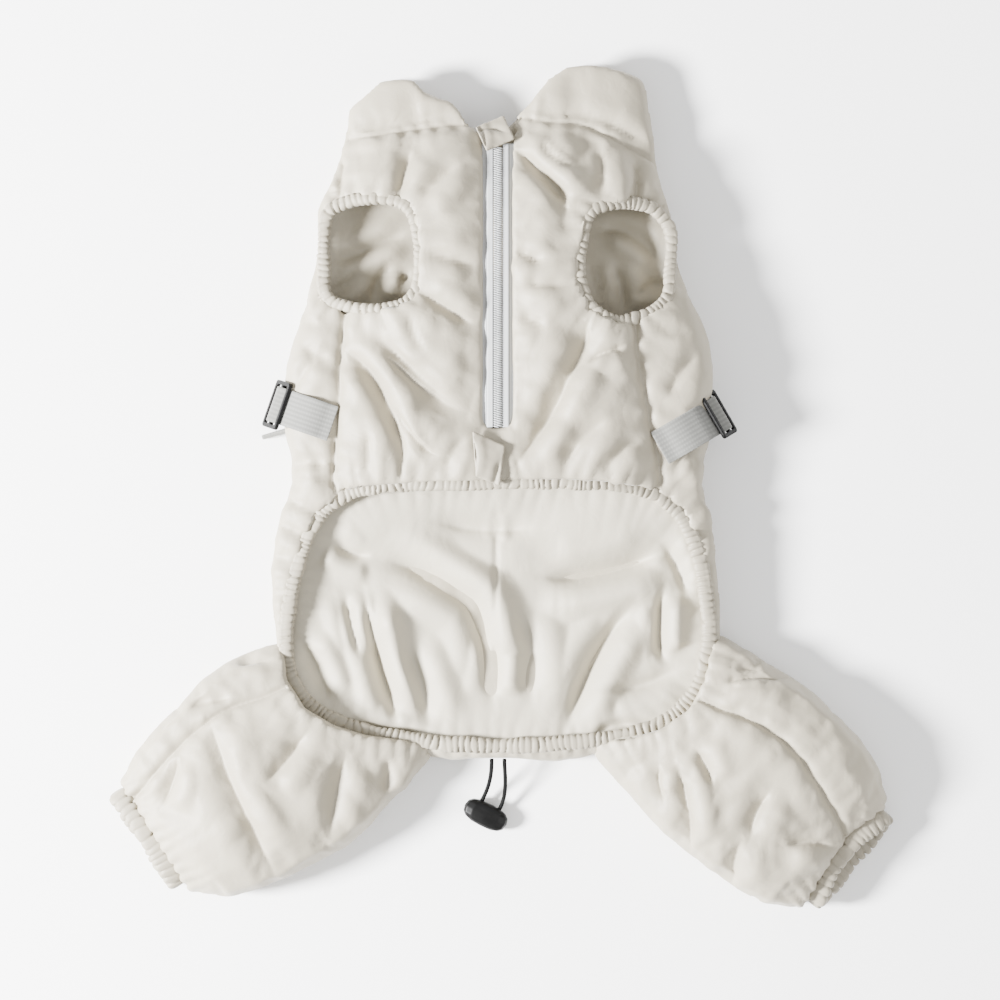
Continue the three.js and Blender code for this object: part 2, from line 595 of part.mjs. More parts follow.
// The gathered cuff round a leg's end. Its upper lip is set back by lip, so the mouth shows.
function cuff(leg, grow) {
  const { root, axis, upper } = legFrame(leg);
  const top = LEG_LOFT * read(leg.rows, "loft", 1);
  const high = LEG_HALF_WIDTH * read(leg.rows, "upper", 1);
  const low = -LEG_HALF_WIDTH * read(leg.rows, "lower", 1);
  const halfHeight = (top - CUFF_THICKNESS) / 2;
  const halfSpan = (high - low - CUFF_THICKNESS) / 2;
  const centre = root.clone().addScaledVector(upper, (high + low) / 2);
  const corners = [];
  const through = [];
  for (let i = 0; i < CUFF_CORNERS; i += 1) {
    const angle = (2 * Math.PI * i) / CUFF_CORNERS;
    const back = leg.lip * (0.5 + 0.5 * Math.sin(angle)) * (1 - Math.cos(angle) ** 4);
    through.push(upper.clone().multiplyScalar(Math.cos(angle) * halfHeight).setZ(Math.sin(angle) * halfSpan).normalize());
    corners.push(centre.clone()
      .addScaledVector(axis, LEG_LENGTH - back)
      .addScaledVector(upper, halfSpan * Math.cos(angle))
      .setZ(top / 2 + halfHeight * Math.sin(angle)));
  }
  return band(corners, through, { across: CUFF_LENGTH, through: CUFF_THICKNESS }, grow);
}

// A tube of round section along a path.
function tube(points, radius, steps) {
  const section = new THREE.Shape();
  const sides = 8;
  for (let j = 0; j < sides; j += 1) {
    const angle = (2 * Math.PI * j) / sides;
    if (j === 0) section.moveTo(radius, 0);
    else section.lineTo(radius * Math.cos(angle), radius * Math.sin(angle));
  }
  const path = new THREE.CatmullRomCurve3(points);
  return toSolid(new THREE.ExtrudeGeometry(section, { steps, extrudePath: path, bevelEnabled: false }));
}

// The drawcord: down from the hem, round inside the toggle, and back up to the hem.
function cordRoute() {
  const lead = new THREE.Vector2(Math.cos(TOGGLE_ANGLE), Math.sin(TOGGLE_ANGLE));
  const inward = new THREE.Vector2(-lead.y, lead.x);
  const place = (a, b, z) => new THREE.Vector3(TOGGLE_X + lead.x * a + inward.x * b, TOGGLE_Y + lead.y * a + inward.y * b, z);
  const z = TOGGLE_HEIGHT / 2;
  const bend = CORD_SPACING / 2;
  const straight = bend - TOGGLE_WIDTH / 2 + CORD_DIAMETER; // the turn's centre, inside the toggle
  const mouth = TOGGLE_WIDTH / 2 + 1;
  const strand = (exit, side) => {
    const start = new THREE.Vector3(exit.x, exit.y, exit.z);
    const end = place(side * bend, mouth, z);
    const curve = new THREE.CubicBezierCurve3(
      start, start.clone().add(new THREE.Vector3(0, -7, -2)), place(side * bend, mouth + 9, z + 2), end,
    );
    return curve.getPoints(5);
  };
  const turn = [];
  const steps = 6;
  for (let i = 1; i < steps; i += 1) {
    const angle = Math.PI + (Math.PI * i) / steps;
    turn.push(place(bend * Math.cos(angle), straight + bend * Math.sin(angle), z));
  }
  const down = strand(CORD_EXITS[0], -1);
  const up = strand(CORD_EXITS[1], 1).reverse();
  return [...down, ...turn, ...up];
}

// The oval toggle, its sides a little squared, with the cord's way through it.
function toggle(route) {
  const geometry = new THREE.SphereGeometry(1, 12, 8);
  const position = geometry.attributes.position;
  const square = (v) => Math.sign(v) * Math.abs(v) ** 0.75;
  for (let i = 0; i < position.count; i += 1) {
    const [x, y, z] = [position.getX(i), position.getY(i), position.getZ(i)].map(square);
    position.setXYZ(i, (TOGGLE_LENGTH / 2) * x, (TOGGLE_WIDTH / 2) * y, (TOGGLE_HEIGHT / 2) * z);
  }
  geometry.rotateZ(TOGGLE_ANGLE).translate(TOGGLE_X, TOGGLE_Y, TOGGLE_HEIGHT / 2);
  return toSolid(geometry).subtract(tube(route, CORD_DIAMETER / 2 + PIECE_GAP, CORD_STEPS));
}

// Slider frame with a middle bar, lying flat round the origin, its length along Y.
function sliderFrame() {
  const corner = 2;
  const [w, l] = [SLIDER_WIDTH / 2, SLIDER_LENGTH / 2];
  const shape = new THREE.Shape();
  shape.absarc(w - corner, l - corner, corner, 0, Math.PI / 2);
  shape.absarc(-w + corner, l - corner, corner, Math.PI / 2, Math.PI);
  shape.absarc(-w + corner, -l + corner, corner, Math.PI, 1.5 * Math.PI);
  shape.absarc(w - corner, -l + corner, corner, 1.5 * Math.PI, 2 * Math.PI);
  const plate = new THREE.ExtrudeGeometry(shape, { depth: SLIDER_THICKNESS, bevelEnabled: false, curveSegments: 3 });
  const slot = w - 1.5 * SLIDER_BAR;
  const slots = [-1, 1].map((side) => toSolid(
    new THREE.BoxGeometry(slot, SLIDER_LENGTH - 2 * SLIDER_BAR, 2 * SLIDER_THICKNESS)
      .translate((side * (slot + SLIDER_BAR)) / 2, 0, 0),
  ));
  return carve(toSolid(plate.translate(0, 0, -SLIDER_THICKNESS / 2)), slots);
}

// The webbing's line in its own upright plane, u outwards from the seam and z up, and the slider's place on it.
function strapLine(strap) {
  const angle = (strap.angle * Math.PI) / 180;
  const direction = new THREE.Vector2(Math.cos(angle), Math.sin(angle));
  const start = new THREE.Vector2(planX(strap.across), planY(strap.along));
  const at = (u) => start.clone().addScaledVector(direction, u);
  const section = (u) => bodyAt(alongOf(at(u).y));
  const outside = (u) => Math.abs(at(u).x - section(u).middle) - section(u).half;
  let edge = 0;
  while (outside(edge) < 0) edge += 0.25;
  const lift = STRAP_THICKNESS / 2 + PIECE_GAP;
  const line = [];
  const stops = 6;
  for (let i = 0; i < stops; i += 1) {
    const u = 1 + ((edge - 8) * i) / (stops - 1);
    const p = at(u);
    const across = new THREE.Vector2(-direction.y, direction.x).multiplyScalar(STRAP_WIDTH * 0.35);
    const heights = [-1, 0, 1].map((k) => chestHeight(p.x + k * across.x, p.y + k * across.y));
    line.push(new THREE.Vector2(u, Math.max(...heights) + lift));
  }
  const body = section(edge);
  const centre = new THREE.Vector2(edge + 3.4, body.edge + 5.5);
  const down = new THREE.Vector2(Math.cos(SLIDER_TILT), -Math.sin(SLIDER_TILT));
  const out = new THREE.Vector2(-down.y, down.x);
  const weave = (SLIDER_THICKNESS + STRAP_THICKNESS) / 2 + 2 * PIECE_GAP;
  // under both end bars and over the middle one
  const [far, near, over] = [SLIDER_WIDTH / 2 + 0.5, SLIDER_WIDTH / 2 - SLIDER_BAR + 0.3, SLIDER_BAR / 2 - 0.2];
  const spots = [[-far, -weave], [-near, -weave], [-over, weave], [over, weave], [near, -weave], [far, -weave]];
  for (const [d, w] of spots) line.push(centre.clone().addScaledVector(down, d).addScaledVector(out, w));
  line.push(new THREE.Vector2(edge + 1.5, 6.5), new THREE.Vector2(edge - 4, 2.2), new THREE.Vector2(edge - 13, 1.5));
  return { line, centre, start, angle, edge };
}

// Webbing of a given thickness and width along a strap's line.
function webbing(strap, grow) {
  const { line, start, angle } = strapLine(strap);
  const points = new THREE.SplineCurve(line).getPoints(3 * (line.length - 1));
  const half = STRAP_THICKNESS / 2 + grow;
  const sides = [[], []];
  points.forEach((p, i) => {
    const tangent = points[Math.min(i + 1, points.length - 1)].clone().sub(points[Math.max(i - 1, 0)]).normalize();
    const normal = new THREE.Vector2(-tangent.y, tangent.x);
    sides[0].push(p.clone().addScaledVector(normal, half));
    sides[1].push(p.clone().addScaledVector(normal, -half));
  });
  const shape = new THREE.Shape([...sides[0], ...sides[1].reverse()]);
  const width = STRAP_WIDTH + 2 * grow;
  const geometry = new THREE.ExtrudeGeometry(shape, { depth: width, bevelEnabled: false });
  geometry.translate(0, 0, -width / 2).rotateX(Math.PI / 2).rotateZ(angle).translate(start.x, start.y, 0);
  return toSolid(geometry);
}

// A strap's slider, or the room it needs.
function strapSlider(strap, grow) {
  const { centre, start, angle } = strapLine(strap);
  const [w, l, t] = [SLIDER_WIDTH, SLIDER_LENGTH, SLIDER_THICKNESS].map((size) => size + 2 * grow);
  const solid = grow > 0 ? toSolid(new THREE.BoxGeometry(w, l, t)) : sliderFrame();
  const turn = (180 / Math.PI) * SLIDER_TILT;
  return solid.rotate([0, turn, 0]).translate([centre.x, 0, centre.y])
    .rotate([0, 0, (180 / Math.PI) * angle]).translate([start.x, start.y, 0]);
}

// The webbing's loose end that shows beside the left slider.
function strapTail(strap, grow) {
  const { start, angle, edge } = strapLine(strap);
  const height = 7;
  const geometry = new THREE.BoxGeometry(24 + 2 * grow, 2.6 + 2 * grow, height + 2 * grow);
  geometry.translate(0, 0, height / 2 + 0.6).rotateZ(angle + 0.62);
  const root = start.clone().add(new THREE.Vector2(Math.cos(angle), Math.sin(angle)).multiplyScalar(edge - 2));
  return toSolid(geometry.translate(root.x - 3, root.y - 12.5, 0));
}

// A strip along the zip, between two offsets from its middle, from bottom to top above the zip's bed.
function zipStrip(left, right, bottom, top, from, to) {
  const rows = 9;
  const rings = [];
  for (let i = 0; i <= rows; i += 1) {
    const y = ZIP_TOP_Y - from + ((from - to) * i) / rows;
    const z = zipBed(y);
    rings.push([
      new THREE.Vector3(ZIP_X + left, y, z + bottom), new THREE.Vector3(ZIP_X + left, y, z + top),
      new THREE.Vector3(ZIP_X + right, y, z + top), new THREE.Vector3(ZIP_X + right, y, z + bottom),
    ]);
  }
  return loft(rings);
}

const ZIP_SINK = 0.5; // the tape lies this far under the cloth beside it
const zipBed = (y) => chestHeight(ZIP_X, y) - ZIP_SINK;

// A four-cornered patch of cloth that follows the chest's height, lifted by bottom; corners run round.
function patch(corners, bottom, thickness) {
  const steps = 4;
  const rings = [];
  for (let i = 0; i <= steps; i += 1) {
    const start = corners[0].clone().lerp(corners[1], i / steps);
    const end = corners[3].clone().lerp(corners[2], i / steps);
    const row = [];
    for (let j = 0; j <= steps; j += 1) {
      const p = start.clone().lerp(end, j / steps);
      row.push(new THREE.Vector3(p.x, p.y, chestHeight(p.x, p.y) + bottom));
    }
    const upper = row.map((p) => p.clone().setZ(p.z + thickness)).reverse();
    rings.push([...row, ...upper]);
  }
  return loft(rings);
}

const GARAGE_WIDTH = 17;
const GARAGE_LENGTH = 15;
const GARAGE_THICKNESS = 3;
const GARAGE_TURN = 0.42;
const GUARD_THICKNESS = 2.2;
const TOP_TAB_LIFT = COIL_HEIGHT - ZIP_SINK + PIECE_GAP;
const END_TAB_LIFT = 1.6; // over the chest side, so that it also clears the binding

// The folded tab that covers the zip's top end.
function garageCorners() {
  const [w, l] = [GARAGE_WIDTH / 2, GARAGE_LENGTH / 2];
  const middle = new THREE.Vector2(ZIP_X - 1.5, ZIP_TOP_Y + 7.5);
  return [[-w, -l], [w, -l], [w, l], [-w, l]].map(
    ([x, y]) => new THREE.Vector2(x, y).rotateAround(new THREE.Vector2(), GARAGE_TURN).add(middle),
  );
}

// The tab that covers the zip's lower end; corners are measured from the zip's end.
const GUARD_CORNERS = [[-14, -2], [-12, -27], [1, -32], [4, -10]];
function guardCorners() {
  return GUARD_CORNERS.map(([x, y]) => new THREE.Vector2(ZIP_X + x, ZIP_TOP_Y - ZIP_LENGTH + y));
}

function ringOutline(curve, steps) {
  const points = [];
  for (let i = 0; i < steps; i += 1) points.push(curve.getPointAt(i / steps));
  return points;
}

function largest(solid) {
  const parts = solid.decompose();
  return parts.reduce((best, part) => (part.volume() > best.volume() ? part : best));
}

function carve(solid, cutters) {
  return cutters.reduce((left, cutter) => left.subtract(cutter), solid);
}

const group = new THREE.Group();

const COLOURS = {
  cloth: { color: 0xd9d6cf, roughness: 0.55, metalness: 0 },
  lining: { color: 0xdfdcd5, roughness: 0.7, metalness: 0 },
  webbing: { color: 0xbfc0bc, roughness: 0.85, metalness: 0 },
  zip: { color: 0xe4e6e6, roughness: 0.6, metalness: 0 },
  black: { color: 0x1c1c1b, roughness: 0.45, metalness: 0 },
};

function add(name, solid, colour) {
  const mesh = solid.getMesh();
  const geometry = new THREE.BufferGeometry();
  const positions = new Float32Array(mesh.numVert * 3);
  for (let i = 0; i < mesh.numVert; i += 1) {
    positions.set(mesh.vertProperties.subarray(i * mesh.numProp, i * mesh.numProp + 3), i * 3);
  }
  geometry.setAttribute("position", new THREE.BufferAttribute(positions, 3));
  geometry.setIndex(new THREE.BufferAttribute(mesh.triVerts, 1));
  geometry.computeVertexNormals();
  const made = new THREE.Mesh(geometry, new THREE.MeshStandardMaterial(COLOURS[colour]));
  made.name = name;
  group.add(made);
}

// A narrow upright slit along a plan path.
function slit(path, bottom, top) {
  const half = SEAM_GAP / 2;
  const side = (sign) => path.map((point, i) => {
    const ahead = path[Math.min(i + 1, path.length - 1)];
    const behind = path[Math.max(i - 1, 0)];
    const along = ahead.clone().sub(behind).normalize();
    return point.clone().add(new THREE.Vector2(-along.y, along.x).multiplyScalar(sign * half));
  });
  return prism([...side(1), ...side(-1).reverse()], bottom, top);
}

const seam = (name) => SEAMS[name].map(planPoint);
const legPlan = (leg, pairs) => {
  const { root, axis, upper } = legFrame(leg);
  return pairs.map(([a, b]) => {
    const p = root.clone().addScaledVector(axis, a * LEG_LENGTH).addScaledVector(upper, b * LEG_HALF_WIDTH);
    return new THREE.Vector2(p.x, p.y);
  });
};

// Rooms: what other pieces take out of the quilted panels, each with its gap.
const TALL = 3 * BODY_LOFT;
const ROOM = PIECE_GAP + 0.2;
const legs = Object.values(LEGS);
const bellyRoom = binding(bellyCurve, BELLY_CORNERS, ROOM);
const armholeRooms = Object.values(armholeCurves).map((curve) => binding(curve, ARMHOLE_CORNERS, ROOM));
const legHollows = legs.map((leg) => legSolid(leg, LEG_PADDING, 5, -0.28, 1.1));
const straps = Object.values(STRAPS);
const strapRooms = straps.map((strap) => webbing(strap, PIECE_GAP));
const sliderRooms = straps.map((strap) => strapSlider(strap, PIECE_GAP));
const tailRoom = strapTail(STRAPS.left, PIECE_GAP);
const tabRooms = [
  patch(garageCorners(), TOP_TAB_LIFT - PIECE_GAP, TALL), patch(guardCorners(), END_TAB_LIFT - PIECE_GAP, TALL),
];
const armholeCuts = Object.values(armholeCurves).map((curve) =>
  prism(ringOutline(curve, ARMHOLE_CORNERS), 0.34 * BODY_LOFT, TALL));
const bellyCut = prism(ringOutline(bellyCurve, BELLY_CORNERS), 0.3 * BODY_LOFT, TALL);
const zipRoom = zipStrip(
  -ZIP_WIDTH / 2 - PIECE_GAP, ZIP_WIDTH / 2 + PIECE_GAP, -PADDING - 3, TALL, -40, ZIP_LENGTH + PIECE_GAP,
);
const reach = 2 * BODY_HALF_WIDTH;
const edge = COLLAR_EDGE.map((row) => new THREE.Vector2(planX(row.across), planY(-row.above)));
const below = prism([
  ...edge, new THREE.Vector2(reach, planY(-0.005)), new THREE.Vector2(reach, -TALL - BODY_LENGTH),
  new THREE.Vector2(-reach, -TALL - BODY_LENGTH), new THREE.Vector2(-reach, planY(-0.005)),
], -TALL, TALL);

const upper = upperHalf();
const hollow = cavitySolid(0);
const slits = [
  slit(seam("collarLeft"), -1, TALL), slit(seam("collarRight"), -1, TALL),
  slit(seam("sideLeft"), 0, TALL).intersect(upper), slit(seam("sideRight"), 0, TALL).intersect(upper),
];
const shell = carve(bodySolid({ grow: 0, relief: true }).intersect(below), [
  hollow, ...legHollows, ...armholeCuts, bellyCut, ...armholeRooms, bellyRoom, zipRoom, ...slits,
  ...strapRooms, ...sliderRooms, tailRoom, ...tabRooms,
]);

// Plan regions, their borders in the middle of the slits.
const centreLine = [new THREE.Vector2(ZIP_X, planY(-0.2)), new THREE.Vector2(ZIP_X, planY(0.7))];
const farUp = planY(-0.3);
const collarLeftArea = prism([
  ...seam("collarLeft"), new THREE.Vector2(planX(-0.08), farUp), new THREE.Vector2(-reach, farUp),
  new THREE.Vector2(-reach, seam("collarLeft")[0].y),
], -TALL, TALL);
const collarRightArea = prism([
  ...seam("collarRight"), new THREE.Vector2(reach, seam("collarRight").at(-1).y), new THREE.Vector2(reach, farUp),
  new THREE.Vector2(planX(0.04), farUp),
], -TALL, TALL);
const chestLeftArea = prism([...seam("sideLeft"), centreLine[0], centreLine[1]], -TALL, TALL).intersect(upper);
const chestRightArea = prism([...seam("sideRight"), centreLine[0], centreLine[1]], -TALL, TALL).intersect(upper);
const collars = [collarLeftArea, collarRightArea];

add("back_panel", largest(carve(shell, [...collars, chestLeftArea, chestRightArea])), "cloth");
add("chest_panel_left", largest(carve(shell.intersect(chestLeftArea), collars)), "cloth");
add("chest_panel_right", largest(carve(shell.intersect(chestRightArea), collars)), "cloth");
add("collar_left", largest(shell.intersect(collarLeftArea)), "cloth");
add("collar_right", largest(shell.intersect(collarRightArea)), "cloth");

// A plan ring of corners along a curve, moved outwards.
function widened(curve, count, out) {
  return ringOutline(curve, count).map((p, i) => {
    const tangent = curve.getTangentAt(i / count);
    return p.clone().add(new THREE.Vector3(-tangent.y, tangent.x, 0).multiplyScalar(-out));
  });
}

// The lining lies on the back panel, inside the hollow, from the chest's end to the tail.
const acrossBody = (from, to) => prism(
  [[-1, to], [1, to], [1, from], [-1, from]].map(([a, b]) => planPoint([2 * a, b])), -TALL, TALL,
);
const liningEnds = [acrossBody(-0.3, 0.53), acrossBody(0.977, 1.3)];
const bellyPlan = prism(widened(bellyCurve, BELLY_CORNERS, -BINDING_WIDTH), -TALL, TALL);
const legPassages = (inset) => legs.map((leg) => legSolid(leg, LEG_PADDING + inset, 5, -0.28, 1.1));
const liningOutside = legPassages(ROOM).reduce((all, passage) => all.add(passage.intersect(bellyPlan)), cavitySolid(ROOM));
const lining = carve(liningOutside.intersect(below), [
  cavitySolid(ROOM + LINING_THICKNESS), ...legPassages(ROOM + LINING_THICKNESS), upper,
  ...liningEnds, ...slits.slice(0, 2), ...collars,
]);
add("back_lining", largest(lining), "lining");

add("belly_binding", binding(bellyCurve, BELLY_CORNERS, 0), "cloth");
add("armhole_binding_left", binding(armholeCurves.left, ARMHOLE_CORNERS, 0), "cloth");
add("armhole_binding_right", binding(armholeCurves.right, ARMHOLE_CORNERS, 0), "cloth");

// The legs stop at the belly binding's outer edge, so that the binding shows all round.
const bellyCore = prism(widened(bellyCurve, BELLY_CORNERS, BINDING_WIDTH / 2 + ROOM), -TALL, TALL);

// Each hind leg is two panels, parted by the seam along it.
const bodyRoom = bodySolid({ grow: PIECE_GAP, relief: false });
for (const [side, leg] of Object.entries(LEGS)) {
  const end = 1 - (CUFF_LENGTH / 2 + PIECE_GAP) / LEG_LENGTH;
  const path = legPlan(leg, leg.seam);
  const whole = carve(legSolid(leg, 0, 7, -0.28, end), [
    bodyRoom, legHollows[side === "left" ? 0 : 1], cuff(leg, { across: ROOM, through: 5 }), slit(path, -1, TALL),
    ...strapRooms, ...sliderRooms, bellyCore,
  ]);
  const far = legPlan(leg, [[1.15, 3], [-0.35, 3]]);
  const outside = prism([...path, ...far], -TALL, TALL);
  add(`leg_${side}_outer`, largest(whole.intersect(outside)), "cloth");
  add(`leg_${side}_inner`, largest(whole.subtract(outside)), "cloth");
  add(`cuff_${side}`, cuff(leg, { across: 0, through: 0 }), "cloth");
}

// Zip: a tape each side of the coil, and a tab over each end.
const coilSide = COIL_WIDTH / 2;
const tapeInner = coilSide + PIECE_GAP;
add("zip_tape_left", zipStrip(-ZIP_WIDTH / 2, -tapeInner, 0, TAPE_THICKNESS, 0, ZIP_LENGTH), "zip");
add("zip_tape_right", zipStrip(tapeInner, ZIP_WIDTH / 2, 0, TAPE_THICKNESS, 0, ZIP_LENGTH), "zip");
add("zip_coil", zipStrip(-coilSide, coilSide, 0, COIL_HEIGHT, 0, ZIP_LENGTH), "zip");
add("zip_top_tab", patch(garageCorners(), TOP_TAB_LIFT, GARAGE_THICKNESS), "cloth");
add("zip_end_tab", patch(guardCorners(), END_TAB_LIFT, GUARD_THICKNESS), "cloth");

for (const [side, strap] of Object.entries(STRAPS)) {
  add(`strap_${side}`, webbing(strap, 0), "webbing");
  add(`slider_${side}`, strapSlider(strap, 0), "black");
}
add("strap_end_left", largest(carve(strapTail(STRAPS.left, 0), [strapRooms[0], sliderRooms[0]])), "webbing");

const cordPoints = cordRoute();
add("drawcord", tube(cordPoints, CORD_DIAMETER / 2, CORD_STEPS), "black");
add("toggle", toggle(cordPoints), "black");

export default group;
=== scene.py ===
"""Padded dog jumpsuit on its back, belly side up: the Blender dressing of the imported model, in metres."""
import math

import bmesh
import bpy
import numpy as np
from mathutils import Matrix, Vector
from mathutils.bvhtree import BVHTree


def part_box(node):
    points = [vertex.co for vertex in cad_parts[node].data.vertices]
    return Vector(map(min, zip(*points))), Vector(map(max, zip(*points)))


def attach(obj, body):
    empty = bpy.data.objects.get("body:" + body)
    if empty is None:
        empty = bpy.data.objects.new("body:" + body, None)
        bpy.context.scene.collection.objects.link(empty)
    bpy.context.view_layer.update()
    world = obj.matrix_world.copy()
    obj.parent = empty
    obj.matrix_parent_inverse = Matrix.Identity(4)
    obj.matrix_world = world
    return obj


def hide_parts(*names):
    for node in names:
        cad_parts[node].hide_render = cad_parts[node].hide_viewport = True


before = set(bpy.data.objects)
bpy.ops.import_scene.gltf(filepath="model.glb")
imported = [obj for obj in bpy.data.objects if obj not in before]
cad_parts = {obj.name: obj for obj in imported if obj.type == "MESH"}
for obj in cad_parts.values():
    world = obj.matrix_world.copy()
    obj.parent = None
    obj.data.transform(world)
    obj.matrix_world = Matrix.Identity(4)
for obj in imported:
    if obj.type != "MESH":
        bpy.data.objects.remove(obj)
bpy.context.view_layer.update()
MM = 0.001

# The photograph's scale and the place of its middle on the floor.
PIXEL = 0.55 * MM
PHOTO_ZERO_X = 501.5
PHOTO_ZERO_Y = 487.1


def photo(x, y):
    """The place in plan of a point of the photograph."""
    return ((x - PHOTO_ZERO_X) * PIXEL, (PHOTO_ZERO_Y - y) * PIXEL)


def linked(name, data):
    """A new object with that data, in the scene."""
    made = bpy.data.objects.new(name, data)
    bpy.context.scene.collection.objects.link(made)
    return made


# Camera: straight above, the neck at the top of the picture.
LENS = 150
SENSOR = 36
VIEW_WIDTH = 1000 * PIXEL
OBJECT_HEIGHT = 20 * MM
FLOOR_GAP = 0.2 * MM
camera_data = bpy.data.cameras.new("camera")
camera_data.lens = LENS
camera_data.sensor_width = SENSOR
camera_data.clip_end = 20
camera = linked("camera", camera_data)
camera.location = (*photo(500, 500), OBJECT_HEIGHT + VIEW_WIDTH * LENS / SENSOR)
bpy.context.scene.camera = camera


def new_object(name, vertices, faces):
    mesh = bpy.data.meshes.new(name)
    mesh.from_pydata([tuple(v) for v in vertices], [], [tuple(f) for f in faces])
    mesh.update()
    mesh.shade_smooth()
    return linked(name, mesh)


def points_of(obj):
    flat = np.empty(3 * len(obj.data.vertices))
    obj.data.vertices.foreach_get("co", flat)
    return flat.reshape(-1, 3)


def set_points(obj, points):
    obj.data.vertices.foreach_set("co", np.asarray(points, float).ravel())
    obj.data.update()


def set_above_floor(obj, points):
    points[:, 2] = np.maximum(points[:, 2], FLOOR_GAP)
    set_points(obj, points)


def normals_of(obj):
    flat = np.empty(3 * len(obj.data.vertices))
    obj.data.vertices.foreach_get("normal", flat)
    return flat.reshape(-1, 3)


def finish_piece(obj, nodes, material):
    """Gives a piece its material, its body and the CAD nodes that it stands for."""
    obj.data.materials.clear()
    obj.data.materials.append(material)
    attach(obj, "root")
    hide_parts(*nodes)


def sweep(name, centres, sides, ups, outline, count, closed):
    """A tube whose outline(i, angles) gives the two offsets of its section at each centre."""
    angles = np.linspace(0, 2 * math.pi, count, endpoint=False)
    rows = []
    for i in range(len(centres)):
        a, b = outline(i, angles)
        rows.append(centres[i] + np.outer(a, sides[i]) + np.outer(b, ups[i]))
    vertices = np.concatenate(rows)
    faces = []
    last = len(centres) if closed else len(centres) - 1
    for i in range(last):
        n = (i + 1) % len(centres)
        for j in range(count):
            k = (j + 1) % count
            faces.append((i * count + j, n * count + j, n * count + k, i * count + k))
    if not closed:
        faces.append(tuple(range(count)))
        faces.append(tuple((len(centres) - 1) * count + j for j in reversed(range(count))))
    made = new_object(name, vertices, faces)
    outward(made)
    return made


def outward(obj):
    bm = bmesh.new()
    bm.from_mesh(obj.data)
    bmesh.ops.recalc_face_normals(bm, faces=bm.faces)
    bm.to_mesh(obj.data)
    bm.free()


# The drawcord comes first: from the hem, round inside the toggle and back to the hem.
TOGGLE_X, TOGGLE_Y = -8.8 * MM, -181.4 * MM
TOGGLE_TURN = math.radians(-27)
TOGGLE_WIDTH, TOGGLE_HEIGHT = 13.5 * MM, 9 * MM
CORD_DIAMETER = 2.4 * MM
CORD_SPACING = 10.8 * MM
CORD_EXITS = ((-5.4 * MM, -149.9 * MM, 17 * MM), (1.6 * MM, -149.9 * MM, 17 * MM))


def cord_route():
    lead = np.array([math.cos(TOGGLE_TURN), math.sin(TOGGLE_TURN)])
    inward = np.array([-lead[1], lead[0]])
    bend = CORD_SPACING / 2
    middle = bend - TOGGLE_WIDTH / 2 + CORD_DIAMETER
    mouth = TOGGLE_WIDTH / 2 + 1 * MM
    height = TOGGLE_HEIGHT / 2

    def place(a, b, z):
        plan = np.array([TOGGLE_X, TOGGLE_Y]) + lead * a + inward * b
        return np.array([plan[0], plan[1], z])

    def strand(start, side):
        start = np.array(start)
        knots = [start, start + np.array([0, -7, -2]) * MM,
                 place(side * bend, mouth + 9 * MM, height + 2 * MM), place(side * bend, mouth, height)]
        t = np.linspace(0, 1, 14)[:, None]
        return list((1 - t) ** 3 * knots[0] + 3 * t * (1 - t) ** 2 * knots[1]
                    + 3 * t * t * (1 - t) * knots[2] + t ** 3 * knots[3])

    turn = [place(bend * math.cos(a), middle + bend * math.sin(a), height)
            for a in np.linspace(math.pi, 2 * math.pi, 14)]
    return strand(CORD_EXITS[0], -1) + turn + strand(CORD_EXITS[1], 1)[::-1]


def frames_along(points, closed):
    """Side and up directions of a path, the up as near +Z as it can be."""
    points = np.asarray(points)
    if closed:
        tangent = np.roll(points, -1, axis=0) - np.roll(points, 1, axis=0)
    else:
        tangent = np.gradient(points, axis=0)
    tangent /= np.linalg.norm(tangent, axis=1)[:, None]
    side = np.cross(tangent, [0, 0, 1])
    side /= np.linalg.norm(side, axis=1)[:, None]
    return tangent, side, np.cross(side, tangent)


route = np.array(cord_route())
steps = np.concatenate([[0], np.cumsum(np.linalg.norm(np.diff(route, axis=0), axis=1))])
cord_length = steps[-1]
fine = np.linspace(0, cord_length, 160)
cord_line = np.stack([np.interp(fine, steps, route[:, k]) for k in range(3)], axis=1)
for _ in range(6):
    cord_line[1:-1] = 0.25 * cord_line[:-2] + 0.5 * cord_line[1:-1] + 0.25 * cord_line[2:]
_, cord_side, cord_up = frames_along(cord_line, False)


def cord_outline(i, angles):
    # a braid of rounded strands that cross in both directions
    twist = fine[i] / (2.2 * MM) * 2 * math.pi
    braid = 0.5 * np.abs(np.sin(2 * angles + twist)) + 0.5 * np.abs(np.sin(2 * angles - twist))
    radius = CORD_DIAMETER / 2 * (0.9 + 0.1 * braid)
    return radius * np.cos(angles), radius * np.sin(angles)


drawcord = sweep("drawcord_braided", cord_line, cord_side, cord_up, cord_outline, 16, False)


# Light: a white studio, lit from the left, with a weak fill from the right.
def area_light(name, place, size, power, aim=(0, 0, 0)):
    data = bpy.data.lights.new(name, "AREA")
    data.shape = "DISK"
    data.size = size
    data.energy = power
    made = linked(name, data)
    made.location = place
    made.rotation_euler = (Vector(aim) - Vector(place)).to_track_quat("-Z", "Y").to_euler()


area_light("key_light", (-1.75, -0.3, 1.05), 0.5, 430)
area_light("fill_light", (1.3, -0.6, 1.6), 1.4, 20)
world = bpy.data.worlds.new("studio")
bpy.context.scene.world = world
world.use_nodes = True
world.node_tree.nodes["Background"].inputs["Color"].default_value = (1, 1, 1, 1)
world.node_tree.nodes["Background"].inputs["Strength"].default_value = 1.25

FLOOR_HALF = 3.0
floor = new_object("floor", [(-FLOOR_HALF, -FLOOR_HALF, 0), (FLOOR_HALF, -FLOOR_HALF, 0),
                             (FLOOR_HALF, FLOOR_HALF, 0), (-FLOOR_HALF, FLOOR_HALF, 0)], [(0, 1, 2, 3)])
floor.location.z = -0.4 * MM


